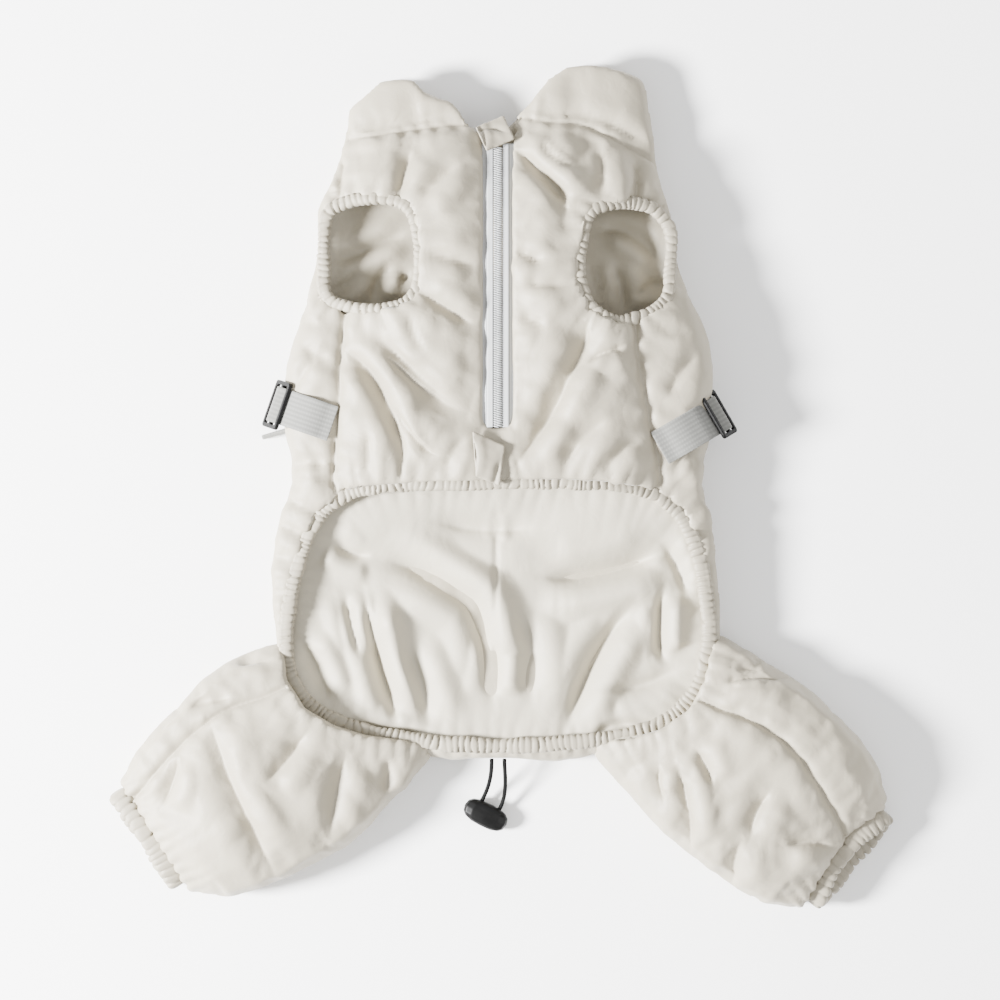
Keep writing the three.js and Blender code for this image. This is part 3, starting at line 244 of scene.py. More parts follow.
class Nodes:
    """A material and short ways to add nodes to it."""

    def __init__(self, name, colour, roughness, **sockets):
        self.material = bpy.data.materials.new(name)
        self.material.use_nodes = True
        self.tree = self.material.node_tree
        self.shader = self.tree.nodes["Principled BSDF"]
        self.shader.inputs["Base Color"].default_value = (*colour, 1)
        self.shader.inputs["Roughness"].default_value = roughness
        for key, value in sockets.items():
            self.shader.inputs[key.replace("_", " ")].default_value = value
        self.place = self.add("ShaderNodeTexCoord").outputs["Object"]
        self.normal = None

    def add(self, kind, **values):
        node = self.tree.nodes.new(kind)
        for key, value in values.items():
            setattr(node, key, value)
        return node

    def link(self, a, b):
        self.tree.links.new(a, b)

    def turned(self, turn):
        node = self.add("ShaderNodeMapping")
        node.inputs["Rotation"].default_value = (0, 0, turn)
        self.link(self.place, node.inputs["Vector"])
        return node.outputs["Vector"]

    def noise(self, scale, detail=3.0, vector=None, roughness=0.5, distortion=0.0):
        node = self.add("ShaderNodeTexNoise")
        node.inputs["Scale"].default_value = scale
        node.inputs["Detail"].default_value = detail
        node.inputs["Roughness"].default_value = roughness
        node.inputs["Distortion"].default_value = distortion
        self.link(self.place if vector is None else vector, node.inputs["Vector"])
        return node.outputs["Fac"]

    def wave(self, scale, vector=None, direction="X"):
        node = self.add("ShaderNodeTexWave", bands_direction=direction)
        node.inputs["Scale"].default_value = scale
        self.link(self.place if vector is None else vector, node.inputs["Vector"])
        return node.outputs["Fac"]

    def math(self, operation, a, b=0.0):
        node = self.add("ShaderNodeMath", operation=operation)
        for socket, value in zip(node.inputs, (a, b)):
            if isinstance(value, (int, float)):
                socket.default_value = value
            else:
                self.link(value, socket)
        return node.outputs["Value"]

    def ramp(self, factor, stops):
        node = self.add("ShaderNodeValToRGB")
        ramp = node.color_ramp
        while len(ramp.elements) < len(stops):
            ramp.elements.new(0.5)
        for element, (position, colour) in zip(ramp.elements, stops):
            element.position = position
            element.color = (*colour, 1)
        self.link(factor, node.inputs["Fac"])
        return node.outputs["Color"]

    def bump(self, height, strength, distance):
        node = self.add("ShaderNodeBump")
        node.inputs["Strength"].default_value = strength
        node.inputs["Distance"].default_value = distance
        self.link(height, node.inputs["Height"])
        if self.normal is not None:
            self.link(self.normal, node.inputs["Normal"])
        self.normal = node.outputs["Normal"]
        self.link(self.normal, self.shader.inputs["Normal"])

    def tones(self, factor, colour, *stops):
        """Colours the material by shades of one colour, chosen by a factor."""
        stops = [(position, shade(colour, share)) for position, share in stops]
        self.link(self.ramp(factor, stops), self.shader.inputs["Base Color"])


def shade(colour, factor):
    return tuple(min(1.0, c * factor) for c in colour)


SHELL = (0.325, 0.291, 0.222)
LINING = (0.392, 0.358, 0.28)
WEBBING = (0.145, 0.145, 0.134)
ZIP_WHITE = (0.42, 0.43, 0.435)
BLACK = (0.003, 0.003, 0.003)
CORD = (0.004, 0.004, 0.004)


def cloth_material(name, colour, roughness, crumple, sheen):
    made = Nodes(name, colour, roughness, Sheen_Weight=sheen, Sheen_Roughness=0.4, Specular_IOR_Level=0.45)
    made.tones(made.noise(28, 3), colour, (0.3, 0.955), (0.7, 1.03))
    creases = made.noise(38, 2, roughness=0.45, distortion=1.4)
    ridges = made.math("ABSOLUTE", made.math("SUBTRACT", creases, 0.5))
    made.bump(ridges, 0.4, crumple)
    made.bump(made.noise(110, 3, distortion=1.2), 0.45, 0.4 * crumple)
    warp = made.wave(900, direction="X")
    weft = made.wave(900, direction="Y")
    made.bump(made.math("MULTIPLY", warp, weft), 0.12, 0.05 * MM)
    return made.material


shell_material = cloth_material("shell_nylon", SHELL, 0.56, 1.1 * MM, 0.12)
lining_material = cloth_material("lining_cloth", LINING, 0.6, 1.0 * MM, 0.15)
# painted shade: the casings, cuffs and zip tabs take the shell colour darkened to 0.84, standing for the
# shade among their gathers
shaded_binding_material = cloth_material("binding_nylon_painted_shade", shade(SHELL, 0.84), 0.58, 0.5 * MM, 0.12)


def webbing_material(name, colour, turn):
    made = Nodes(name, colour, 0.8, Sheen_Weight=0.2)
    along = made.turned(-turn)
    ribs = made.wave(130, vector=along, direction="Y")
    picks = made.wave(190, vector=along, direction="X")
    weave = made.math("MULTIPLY", ribs, made.math("ADD", made.math("MULTIPLY", picks, 0.4), 0.6))
    made.tones(weave, colour, (0.1, 0.86), (0.8, 1.08))
    made.bump(weave, 0.45, 0.3 * MM)
    return made.material


def plastic_material(name, colour, roughness):
    made = Nodes(name, colour, roughness, Specular_IOR_Level=0.12)
    made.tones(made.noise(160, 2), colour, (0.35, 0.8), (0.7, 1.5))
    made.bump(made.noise(1400, 2), 0.25, 0.05 * MM)
    made.bump(made.noise(90, 1), 0.15, 0.3 * MM)
    return made.material


plastic = plastic_material("moulded_black", BLACK, 0.38)
cord_made = Nodes("cord_braid", CORD, 0.8, Specular_IOR_Level=0.1)
cord_made.tones(cord_made.noise(900, 2), CORD, (0.3, 0.7), (0.75, 1.5))
cord_made.bump(cord_made.noise(2200, 2), 0.4, 0.1 * MM)
floor_made = Nodes("floor_white", (0.93, 0.93, 0.93), 0.8)
floor_made.tones(floor_made.noise(3, 2), (1, 1, 1), (0.2, 0.925), (0.8, 0.94))
floor.data.materials.append(floor_made.material)


# Copies of solids, remeshed and smoothed.
def joined(name, nodes, voxel, smoothing, grow=0.0, plugs=()):
    """One skin round the nodes, grown a little where sewn gaps have to close, with plugs where three meet."""
    bm = bmesh.new()
    for node in nodes:
        bm.from_mesh(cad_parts[node].data)
    bmesh.ops.remove_doubles(bm, verts=bm.verts, dist=1e-6)
    bm.normal_update()
    places = [vertex.co + vertex.normal * grow for vertex in bm.verts]
    for vertex, place in zip(bm.verts, places):
        vertex.co = place
    for place, half in plugs:
        ball = bmesh.ops.create_icosphere(bm, subdivisions=2, radius=1)
        for vertex in ball["verts"]:
            vertex.co = Vector(place) + Vector(c * h for c, h in zip(vertex.co, half))
    mesh = bpy.data.meshes.new(name)
    bm.to_mesh(mesh)
    bm.free()
    made = linked(name, mesh)
    modifier = made.modifiers.new("remesh", "REMESH")
    modifier.mode = "VOXEL"
    modifier.voxel_size = voxel
    relax(made, smoothing)
    made.data.shade_smooth()
    return made


def settle(obj):
    """Applies what the object's modifiers make."""
    evaluated = obj.evaluated_get(bpy.context.evaluated_depsgraph_get())
    mesh = bpy.data.meshes.new_from_object(evaluated)
    obj.modifiers.clear()
    obj.data = mesh


def relax(obj, times):
    """Smooths an object and applies what its modifiers make."""
    modifier = obj.modifiers.new("smooth", "SMOOTH")
    modifier.factor = 0.5
    modifier.iterations = times
    settle(obj)


def thickened(obj, thickness):
    modifier = obj.modifiers.new("thickness", "SOLIDIFY")
    modifier.thickness = thickness
    settle(obj)
    obj.data.shade_smooth()


def tree_of(mesh):
    """A search tree over a mesh's faces."""
    return BVHTree.FromPolygons([tuple(v.co) for v in mesh.vertices],
                                [tuple(f.vertices) for f in mesh.polygons])


def lattice_noise(points, size, seed):
    """Smooth random values from -1 to 1, with bumps of about that size."""
    p = points / size
    base = np.floor(p).astype(np.int64)
    t = p - base
    t = t * t * (3 - 2 * t)
    total = np.zeros(len(points))
    for corner in range(8):
        bit = np.array([corner & 1, corner >> 1 & 1, corner >> 2 & 1])
        cell = base + bit
        key = seed * 2654435761
        for axis, prime in enumerate((73856093, 19349663, 83492791)):
            key = key ^ (cell[:, axis] * prime)
        key = (key ^ (key >> 13)) * 1274126177 & 0xFFFFFFFF
        value = ((key ^ (key >> 16)) & 0xFFFF) / 32767.5 - 1
        weight = np.prod(np.where(bit == 1, t, 1 - t), axis=1)
        total += weight * value
    return total


def line_noise(run, side, size, seed):
    """Smooth random values along a line, which may differ on its two sides."""
    return lattice_noise(np.stack([run, side + 0 * run, 0 * run], axis=1), size, seed)


def along_path(points, path):
    """For plan points: distance to a path, the length along it there, and the side it lies on."""
    plan = points[:, :2]
    best = np.full(len(plan), np.inf)
    run = np.zeros(len(plan))
    side = np.ones(len(plan))
    done = 0.0
    for a, b in zip(path[:-1], path[1:]):
        a, b = np.array(a), np.array(b)
        edge = b - a
        length = np.linalg.norm(edge)
        t = np.clip((plan - a) @ edge / length ** 2, 0, 1)
        apart = plan - (a + t[:, None] * edge)
        distance = np.linalg.norm(apart, axis=1)
        near = distance < best
        best[near] = distance[near]
        run[near] = done + t[near] * length
        side[near] = np.sign(edge[0] * apart[near, 1] - edge[1] * apart[near, 0])
        done += length
    return best, run, side, done


def rounded(path, times=2):
    """Cuts a path's corners, so that it bends smoothly."""
    path = [np.array(p, float) for p in path]
    for _ in range(times):
        cut = [path[0]]
        for a, b in zip(path[:-1], path[1:]):
            cut += [0.75 * a + 0.25 * b, 0.25 * a + 0.75 * b]
        path = cut + [path[-1]]
    return path


def smoothstep(x, low, high):
    t = np.clip((x - low) / (high - low), 0, 1)
    return t * t * (3 - 2 * t)


def fold(points, pixels, width, depth, lip=0.45):
    """A crease that fades at both ends: gentle on its upper left side, steep on the other."""
    path = rounded([photo(*p) for p in pixels])
    distance, run, side, length = along_path(points, path)
    ends = 0.1 + 0.9 * smoothstep(run, 0, 0.3 * length) * smoothstep(length - run, 0, 0.3 * length)
    across = np.array([-(path[-1] - path[0])[1], (path[-1] - path[0])[0]])
    gentle = side == np.sign(across @ np.array([-0.85, 0.5]) or 1)
    reach = width * np.where(gentle, 1.5, 0.3)
    sharp = 0.4 if depth > 2.9 * MM else 0.12
    valley = (1 - sharp) * np.exp(-(distance / reach) ** 1.2) + sharp * np.exp(-distance / (0.26 * width))
    rim = np.exp(-((distance - 1.9 * width) / (1.3 * width)) ** 2) * smoothstep(distance, 0, width)
    return depth * ends * (lip * np.where(gentle, 0.7, 1.2) * rim - valley)


def seam_relief(points, pixels, width, depth, pucker, wavelength, reach, seed):
    """A sewn line: a narrow groove, and puckers that run across it and die away."""
    distance, run, side, _ = along_path(points, rounded([photo(*p) for p in pixels]))
    groove = np.exp(-(distance / (1.5 * width)) ** 2) + np.exp(-distance / (0.35 * width))
    wander = 1.1 * line_noise(run, 0.37 * side, 2.6 * wavelength, seed)
    strength = 0.55 + 0.45 * line_noise(run, side, 4 * wavelength, seed + 7)
    lean = 0.35 * line_noise(run, side, 3 * wavelength, seed + 5) * distance
    waves = np.sin(2 * math.pi * (run + lean) / wavelength + 5.5 * wander)
    waves = np.where(waves > 0, waves, -np.abs(waves) ** 0.7)
    far = reach * (1 + 0.7 * line_noise(run, side, 0.9 * wavelength, seed + 11))
    hump = (distance / width) * np.exp(1 - distance / np.maximum(far, 0.3 * reach)) / (1 + distance / width)
    return pucker * strength * waves * hump - 0.5 * depth * groove


PUFF_FRAMES = 14
PUFF_PRESSURE = 4.5
PUFF_CAP = 4.5 * MM


def puff(obj, pinned, growth):
    """Lets a padded cloth swell and buckle by a short cloth simulation, held where it is sewn."""
    start = points_of(obj)
    group = obj.vertex_groups.new(name="sewn")
    for index in np.nonzero(pinned > 0.02)[0]:
        group.add([int(index)], float(pinned[index]), "REPLACE")
    modifier = obj.modifiers.new("cloth", "CLOTH")
    cloth = modifier.settings
    cloth.quality = 4
    cloth.mass = 0.25
    cloth.tension_stiffness = 25
    cloth.compression_stiffness = 12
    cloth.shear_stiffness = 8
    cloth.bending_stiffness = 5
    cloth.tension_damping = 8
    cloth.compression_damping = 8
    cloth.shear_damping = 8
    cloth.air_damping = 2
    cloth.vertex_group_mass = "sewn"
    cloth.shrink_min = -growth
    cloth.use_pressure = True
    cloth.uniform_pressure_force = PUFF_PRESSURE
    cloth.effector_weights.gravity = 0
    modifier.collision_settings.use_collision = False
    modifier.collision_settings.use_self_collision = False
    modifier.point_cache.frame_end = PUFF_FRAMES + 1
    scene = bpy.context.scene
    for step in range(1, PUFF_FRAMES + 1):
        scene.frame_set(step)
    evaluated = obj.evaluated_get(bpy.context.evaluated_depsgraph_get())
    moved = np.empty(3 * len(start))
    evaluated.data.vertices.foreach_get("co", moved)
    obj.modifiers.clear()
    obj.vertex_groups.clear()
    scene.frame_set(1)
    shift = moved.reshape(-1, 3) - start
    shift = np.nan_to_num(shift)
    length = np.linalg.norm(shift, axis=1)
    shift *= (PUFF_CAP * np.tanh(length / PUFF_CAP) / np.maximum(length, 1e-9))[:, None]
    set_above_floor(obj, start + shift)


# Places in the photograph, in its pixels.
SIDE_SEAM_LEFT = [
    (339, 163), (339, 208), (342, 300), (345, 315), (340.5, 365), (338.6, 395), (335, 440), (334, 485),
]
SIDE_SEAM_RIGHT = [
    (637, 168), (638, 203), (636, 310), (636, 350), (644, 388), (653, 438), (660, 468), (661, 482),
]
COLLAR_SEAM_LEFT = [(335, 139), (348, 138), (403, 131), (461, 123), (480, 124)]
COLLAR_SEAM_RIGHT = [(508, 119), (520, 116), (551, 123), (582, 123), (617, 141), (656, 161), (668, 168)]
SHOULDER_SEAM_LEFT = [(318, 198), (326, 194), (337, 190)]
SHOULDER_SEAM_RIGHT = [(637, 197), (650, 201), (668, 206)]
ZIP_LEFT_EDGE = [(483, 140), (483, 430)]
ZIP_RIGHT_EDGE = [(513, 140), (513, 430)]
CHEST_FOLDS = [
    ([(345, 350), (371, 372), (391, 409), (406, 454), (402, 472)], 5.0, 6.0),
    ([(391, 405), (424, 450), (441, 457)], 4.5, 3.6),
    ([(378, 350), (433, 398), (463, 413)], 6.0, 3.0),
    ([(368, 329), (412, 368), (460, 411)], 6.5, 2.4),
    ([(418, 291), (447, 310), (475, 327)], 4.5, 3.0),
    ([(410, 314), (416, 339), (428, 352)], 4.5, 2.4),
    ([(398, 202), (404, 175), (412, 150)], 4.5, 3.0),
    ([(418, 205), (438, 182), (462, 163)], 5.0, 2.8),
    ([(424, 250), (448, 262), (478, 268)], 4.5, 2.4),
    ([(445, 478), (452, 455), (470, 436)], 4.0, 2.2),
    ([(365, 480), (372, 455), (368, 430)], 4.0, 2.0),
    ([(512, 150), (522, 154), (533, 165), (564, 196), (568, 213)], 4.5, 5.5),
    ([(587, 318), (583, 356), (568, 377), (549, 419), (516, 466)], 5.5, 6.0),
    ([(585, 365), (602, 354), (627, 348)], 4.5, 3.4),
    ([(514, 253), (529, 259), (543, 268)], 4.0, 2.6),
    ([(522, 285), (545, 288), (566, 287)], 4.0, 2.4),
    ([(518, 318), (530, 322), (545, 330)], 4.0, 2.4),
    ([(540, 140), (552, 158), (575, 172)], 5.0, 2.6),
    ([(598, 140), (604, 170), (600, 205)], 5.0, 2.4),
    ([(560, 470), (580, 440), (612, 418)], 6.0, 2.6),
    ([(600, 478), (618, 452), (640, 440)], 4.5, 2.4),
    ([(300, 345), (318, 360), (333, 358)], 4.5, 2.2),
    ([(290, 470), (312, 462), (330, 470)], 4.5, 2.4),
    ([(665, 400), (680, 376), (700, 350)], 5.0, 2.2),
    ([(672, 480), (684, 455), (700, 445)], 4.5, 2.2),
    ([(292, 395), (305, 372), (325, 352)], 4.5, 1.8),
]
COLLAR_FOLDS = [
    ([(346, 133), (400, 125), (440, 119), (468, 121)], 4.0, 2.6),
    ([(514, 110), (552, 115), (585, 116), (620, 128), (654, 152)], 4.0, 2.8),
    ([(520, 100), (528, 92), (540, 84)], 4.0, 1.2),
]
# Pinches between the belly casing and the garment's edge.
WAIST_FOLDS = [
    ([(283, 498), (303, 506), (322, 518)], 4.0, 4.0),
    ([(278, 524), (294, 531), (312, 538)], 3.6, 4.0),
    ([(274, 556), (288, 560), (302, 568)], 3.6, 3.6),
    ([(273, 590), (284, 592), (294, 598)], 3.4, 3.0),
    ([(712, 500), (692, 508), (668, 512)], 4.0, 4.0),
    ([(717, 530), (703, 535), (686, 532)], 3.6, 4.0),
    ([(719, 566), (709, 570), (698, 574)], 3.6, 3.6),
    ([(720, 600), (713, 604), (704, 606)], 3.4, 3.0),
]
# Where the armholes are drawn out of the round: a place and its move, in the photograph's pixels.
ARMHOLE_CORNERS = [
    ((330, 216), (-5, -5)), ((328, 296), (-8, 6)), ((408, 292), (4, 4)), ((404, 212), (3, -2)),
    ((586, 216), (-5, -5)), ((667, 296), (5, 4)), ((662, 226), (2, -3)), ((612, 318), (2, 3)),
]
# Folds of the lining that show through the armholes.
INNER_FOLDS = [
    ([(328, 262), (352, 256), (380, 243), (410, 232)], 4.0, 4.0),
    ([(372, 300), (376, 282), (392, 262)], 4.0, 4.0),
    ([(336, 292), (350, 282), (360, 268)], 4.0, 2.6),
    ([(395, 292), (402, 278), (410, 268)], 3.5, 2.6),
    ([(598, 232), (620, 228), (640, 240), (662, 262)], 4.0, 4.5),
    ([(622, 312), (624, 290), (612, 262)], 4.5, 3.6),
    ([(634, 300), (645, 285), (664, 280)], 3.5, 3.0),
    ([(590, 262), (596, 280), (604, 300)], 4.0, 2.4),
]


def combined(reliefs):
    """The deepest valley and the highest ridge at each point, so that crossing folds don't dig twice."""
    reliefs = np.array(reliefs)
    return np.minimum(reliefs.min(axis=0), 0) + np.maximum(reliefs.max(axis=0), 0)


def puckers(points, seams, seed):
    """The relief of several sewn lines together."""
    return combined([
        seam_relief(points, pixels, *(v * MM for v in shape), seed + 13 * number)
        for number, (pixels, *shape) in enumerate(seams)
    ])


def folds_relief(points, table, lip=0.45):
    """The relief of a table of folds: their path in the photograph, width and depth in millimetres."""
    return combined([fold(points, pixels, width * MM, depth * MM, lip) for pixels, width, depth in table])


def refine(obj, lines, width, masks):
    """Halves the faces beside the given lines and keeps the masks, which are values for each point."""
    mesh = obj.data
    for name, values in masks.items():
        mesh.attributes.new(name, "FLOAT", "POINT").data.foreach_set("value", values)
    near = closeness(points_of(obj), lines, width) * masks["front"] > 0.25
    bm = bmesh.new()
    bm.from_mesh(mesh)
    bm.verts.ensure_lookup_table()
    edges = [e for e in bm.edges if near[e.verts[0].index] and near[e.verts[1].index]]
    bmesh.ops.subdivide_edges(bm, edges=edges, cuts=1, use_grid_fill=True)
    bm.to_mesh(mesh)
    bm.free()
    kept = {}
    for name in masks:
        values = np.empty(len(mesh.vertices))
        mesh.attributes[name].data.foreach_get("value", values)
        kept[name] = values
        mesh.attributes.remove(mesh.attributes[name])
    mesh.shade_smooth()
    return kept


def drawn_to(points, line, half_width, reach, most):
    """Moves points in plan towards a casing, so that no gap shows beside it."""
    loop = [np.array(p[:2]) for p in line] + [np.array(line[0][:2])]
    best = np.full(len(points), np.inf)
    towards = np.zeros((len(points), 2))
    for a, b in zip(loop[:-1], loop[1:]):
        edge = b - a
        t = np.clip((points[:, :2] - a) @ edge / (edge @ edge), 0, 1)
        apart = a + t[:, None] * edge - points[:, :2]
        distance = np.linalg.norm(apart, axis=1)
        near = distance < best
        best[near] = distance[near]
        towards[near] = apart[near] / np.maximum(distance[near], 1e-9)[:, None]
    amount = most * (1 - smoothstep(best, half_width, half_width + reach)) * smoothstep(best, 0, half_width)
    return np.concatenate([towards * amount[:, None], np.zeros((len(points), 1))], axis=1)


def closeness(points, lines, width):
    """1 on the given lines of the photograph, fading over that width."""
    near = np.zeros(len(points))
    for pixels in lines:
        distance = along_path(points, rounded([photo(*p) for p in pixels]))[0]
        near = np.maximum(near, np.exp(-(distance / width) ** 2))
    return near


def crumple(points, seed, sizes):
    """Soft random dents: pairs of bump size and height in millimetres."""
    total = np.zeros(len(points))
    for number, (size, height) in enumerate(sizes):
        total += height * MM * lattice_noise(points, size * MM, seed + number)
    return total


def ring_of(node, axis_a, axis_b, bins=60):
    """The middle line of a ring-shaped node, found by the angle round its centre."""
    points = points_of(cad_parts[node])
    axis_a, axis_b = np.array(axis_a, float), np.array(axis_b, float)
    centre = (points.min(0) + points.max(0)) / 2
    a, b = (points - centre) @ axis_a, (points - centre) @ axis_b
    half_a, half_b = np.abs(a).max(), np.abs(b).max()
    angle = np.arctan2(b / half_b, a / half_a)
    grid = np.linspace(-math.pi, math.pi, bins, endpoint=False)
    line = []
    for g in grid:
        away = np.abs((angle - g + math.pi) % (2 * math.pi) - math.pi)
        weight = np.exp(-(away / (1.1 * math.pi / bins * 2)) ** 2)
        line.append((points * weight[:, None]).sum(0) / weight.sum())
    line = np.array(line)
    for _ in range(2):
        line = 0.25 * np.roll(line, 1, axis=0) + 0.5 * line + 0.25 * np.roll(line, -1, axis=0)
    return line


def resampled(line, step):
    """A closed line's points at even steps, and the length along it at each."""
    line = np.concatenate([line, line[:1]])
    length = np.concatenate([[0], np.cumsum(np.linalg.norm(np.diff(line, axis=0), axis=1))])
    count = max(8, int(length[-1] / step))
    spots = np.linspace(0, length[-1], count, endpoint=False)
    return np.stack([np.interp(spots, length, line[:, k]) for k in range(3)], axis=1), spots


def gathered_band(name, line, across_of, half_across, half_through, gather, depth, seed, sides=22):
    """An elastic casing: a soft band drawn up in many small folds that run across it."""
    centres, run = resampled(line, 0.62 * MM)
    tangent, _, _ = frames_along(centres, True)
    across = across_of(centres, tangent)
    across -= tangent * np.sum(across * tangent, axis=1)[:, None]
    across /= np.linalg.norm(across, axis=1)[:, None]
    through = np.cross(across, tangent)
    through /= np.linalg.norm(through, axis=1)[:, None]

    def uneven(share, step):
        return line_noise(run, 0, share * gather, seed + step)

    phase = 2 * math.pi * run / gather + 5.0 * uneven(3.1, 0)
    swell = 1 + 0.13 * uneven(3.2, 1)
    outer_pinch = 0.5 + 0.9 * uneven(1.3, 2)
    inner_pinch = 0.5 + 0.9 * uneven(1.3, 3)
    top_pinch = 0.5 + 0.9 * uneven(1.7, 4)
    lean = 2.2 * uneven(2.3, 5)
    wander = 0.12 * half_across * uneven(2.2, 6)

    def outline(i, angles):
        reach_out, height = np.cos(angles), np.sin(angles)
        swing = 0.5 * (phase[i] + lean[i] * reach_out + 0.5 * np.sin(2 * angles + phase[i] / 7))
        valley = 0.75 * np.exp(-(np.sin(swing) / 0.26) ** 2) + 0.25 * (1 - np.abs(np.sin(swing)))
        share = (outer_pinch[i] * np.clip(reach_out, 0, 1) + inner_pinch[i] * np.clip(-reach_out, 0, 1)
                 + top_pinch[i] * np.clip(height, 0, 1) ** 2)
        scale = swell[i] * (1 - depth * valley * (0.35 + np.clip(share, 0, 1.2)))
        power = 0.72
        a = half_across * np.sign(reach_out) * np.abs(reach_out) ** power
        b = half_through * np.sign(height) * np.abs(height) ** power
        # the row of stitching beside the elastic presses a shallow channel
        channel = 0.16 * half_through * np.exp(-((a - 0.45 * half_across) / (0.13 * half_across)) ** 2)
        return a * scale + wander[i], b * scale - channel * (height > 0)

    return sweep(name, centres, across, through, outline, sides, True)


def outer_mask(obj, reach=90 * MM):
    """1 where the surface faces away from the object, 0 inside its hollow."""
    points, normals = points_of(obj), normals_of(obj)
    tree = tree_of(obj.data)
    mask = np.ones(len(points))
    for i, (p, n) in enumerate(zip(points, normals)):
        if tree.ray_cast(Vector(p + n * 0.6 * MM), Vector(n), reach)[0] is not None:
            mask[i] = 0
    return mask


def middle_height(points, bin_size=6 * MM):
    """Half the greatest height at each place along Y, for each point."""
    bins = ((points[:, 1] - points[:, 1].min()) / bin_size).astype(int)
    top = np.zeros(bins.max() + 1)
    np.maximum.at(top, bins, points[:, 2])
    return 0.5 * top[bins]


def near_line(points, line):
    """What along_path says of the points beside a closed line."""
    return along_path(points, [tuple(p[:2]) for p in line] + [tuple(line[0][:2])])


def held(points, outer, top, seams, folds, casings, reach, more):
    """How firmly each point is held while the cloth puffs: 1 at sewn lines, casings and the hidden sides."""
    shares = [1 - outer, 1 - smoothstep(points[:, 2], 1.5 * MM, 6 * MM), more,
              top * closeness(points, seams, 2.6 * MM), 0.8 * top * closeness(points, folds, 3 * MM)]
    for line in casings:
        distance = near_line(points, line)[0]
        shares.append(1 - smoothstep(distance, BINDING_HALF + 1 * MM, BINDING_HALF + reach))
    return np.maximum.reduce(shares)


def limited(relief):
    """Keeps the valleys from getting too deep."""
    return np.where(relief < 0, DEEPEST * np.tanh(relief / DEEPEST), relief)


def cornered(points):
    """Moves points in plan so that the armholes get their corners."""
    moved = points.copy()
    for place, move in ARMHOLE_CORNERS:
        centre = np.array(photo(*place))
        away = np.linalg.norm(points[:, :2] - centre, axis=1)
        moved[:, :2] += (np.exp(-(away / (11 * MM)) ** 2)[:, None]
                         * (np.array(photo(place[0] + move[0], place[1] + move[1])) - centre))
    return moved


def ring_gathers(points, line, half_width, reach, wavelength, depth, seed):
    """Folds of uneven length that run out from an elastic casing and fade."""
    distance, run, _, _ = near_line(points, line)
    lean = 0.5 * line_noise(run, 0, 4 * wavelength, seed + 9) * distance
    phase = 2 * math.pi * (run + lean) / wavelength + 2.6 * line_noise(run, 0, 2.4 * wavelength, seed)
    away = np.maximum(distance - half_width, 0)
    length = reach * (0.8 + 0.6 * line_noise(run, 0, 1.3 * wavelength, seed + 3))
    rise = smoothstep(away, -1 * MM, 1.5 * MM) * np.exp(-away / np.maximum(length, 0.25 * reach))
    return depth * rise * (np.abs(np.sin(0.5 * phase)) ** 0.7 * 1.7 - 1.0)


BELLY_LINE = ring_of("belly_binding", (1, 0, 0), (0, 1, 0), 96)
ARMHOLE_LEFT_LINE = ring_of("armhole_binding_left", (1, 0, 0), (0, 1, 0), 40)
ARMHOLE_RIGHT_LINE = ring_of("armhole_binding_right", (1, 0, 0), (0, 1, 0), 40)
BINDING_HALF = 4 * MM

# The quilted body: back, chest and collar in one, since their seams are sewn shut.
BODY_NODES = ["back_panel", "chest_panel_left", "chest_panel_right", "collar_left", "collar_right"]
SEAM_CLOSING = 0.45 * MM
SEAM_JUNCTIONS = [((*photo(632, 149), 18.6 * MM), (7 * MM, 7 * MM, 2.6 * MM))]
BODY_VOXEL = 2.1 * MM
DEEPEST = 5.5 * MM
HELD_DEPTH = 2.9  # folds deeper than this, in millimetres, are held while the cloth puffs
HELD_LEG_DEPTH = 3.1
body_voxel = BODY_VOXEL
body = joined("body_quilted", BODY_NODES, body_voxel, 5, SEAM_CLOSING, SEAM_JUNCTIONS)
points, normals = points_of(body), normals_of(body)
outer = outer_mask(body)
middle = middle_height(points)
outer[(points[:, 2] < middle) & (normals[:, 2] > 0.25)] = 0
front = outer * smoothstep(normals[:, 2], 0.0, 0.5) * (points[:, 2] > middle)

BODY_SEAMS = [
    # path, groove width, groove depth, pucker height, wavelength and reach, in millimetres
    (SIDE_SEAM_LEFT, 1.7, 4.2, 0.7, 15, 9),
    (SIDE_SEAM_RIGHT, 1.7, 4.2, 0.7, 15, 9),
    (COLLAR_SEAM_LEFT, 2.0, 2.6, 0.7, 12, 7),
    (COLLAR_SEAM_RIGHT, 2.0, 2.6, 0.7, 12, 7),
    (SHOULDER_SEAM_LEFT, 1.8, 2.0, 0.8, 9, 6),
    (SHOULDER_SEAM_RIGHT, 1.8, 2.0, 0.8, 9, 6),
    (ZIP_LEFT_EDGE, 2.0, 0.6, 0.9, 19, 12),
    (ZIP_RIGHT_EDGE, 2.0, 0.6, 0.9, 17, 11),
]
side_wall = outer * (1 - smoothstep(np.abs(normals[:, 2]), 0.3, 0.8))
side_wall *= smoothstep(points[:, 2], 1 * MM, 6 * MM)
under = (1 - outer) * smoothstep(-normals[:, 2], 0.1, 0.5) * (points[:, 2] > middle)
inside = (1 - outer) * smoothstep(normals[:, 2], 0.2, 0.6) * (points[:, 2] < middle)
inside *= points[:, 1] > 20 * MM

seam_lines = [seam[0] for seam in BODY_SEAMS]
deep_folds = [path for path, _, depth in CHEST_FOLDS if depth > HELD_DEPTH]
zip_gap = np.abs(points[:, 0] - photo(498, 0)[0])
at_zip = (1 - smoothstep(zip_gap, 9 * MM, 12 * MM)) * (points[:, 1] > photo(0, 440)[1])
casings = (BELLY_LINE, ARMHOLE_LEFT_LINE, ARMHOLE_RIGHT_LINE)
pinned = held(points, outer, front, seam_lines, deep_folds, casings, 5 * MM, at_zip)
puff(body, pinned, growth=0.014)
relax(body, 4)

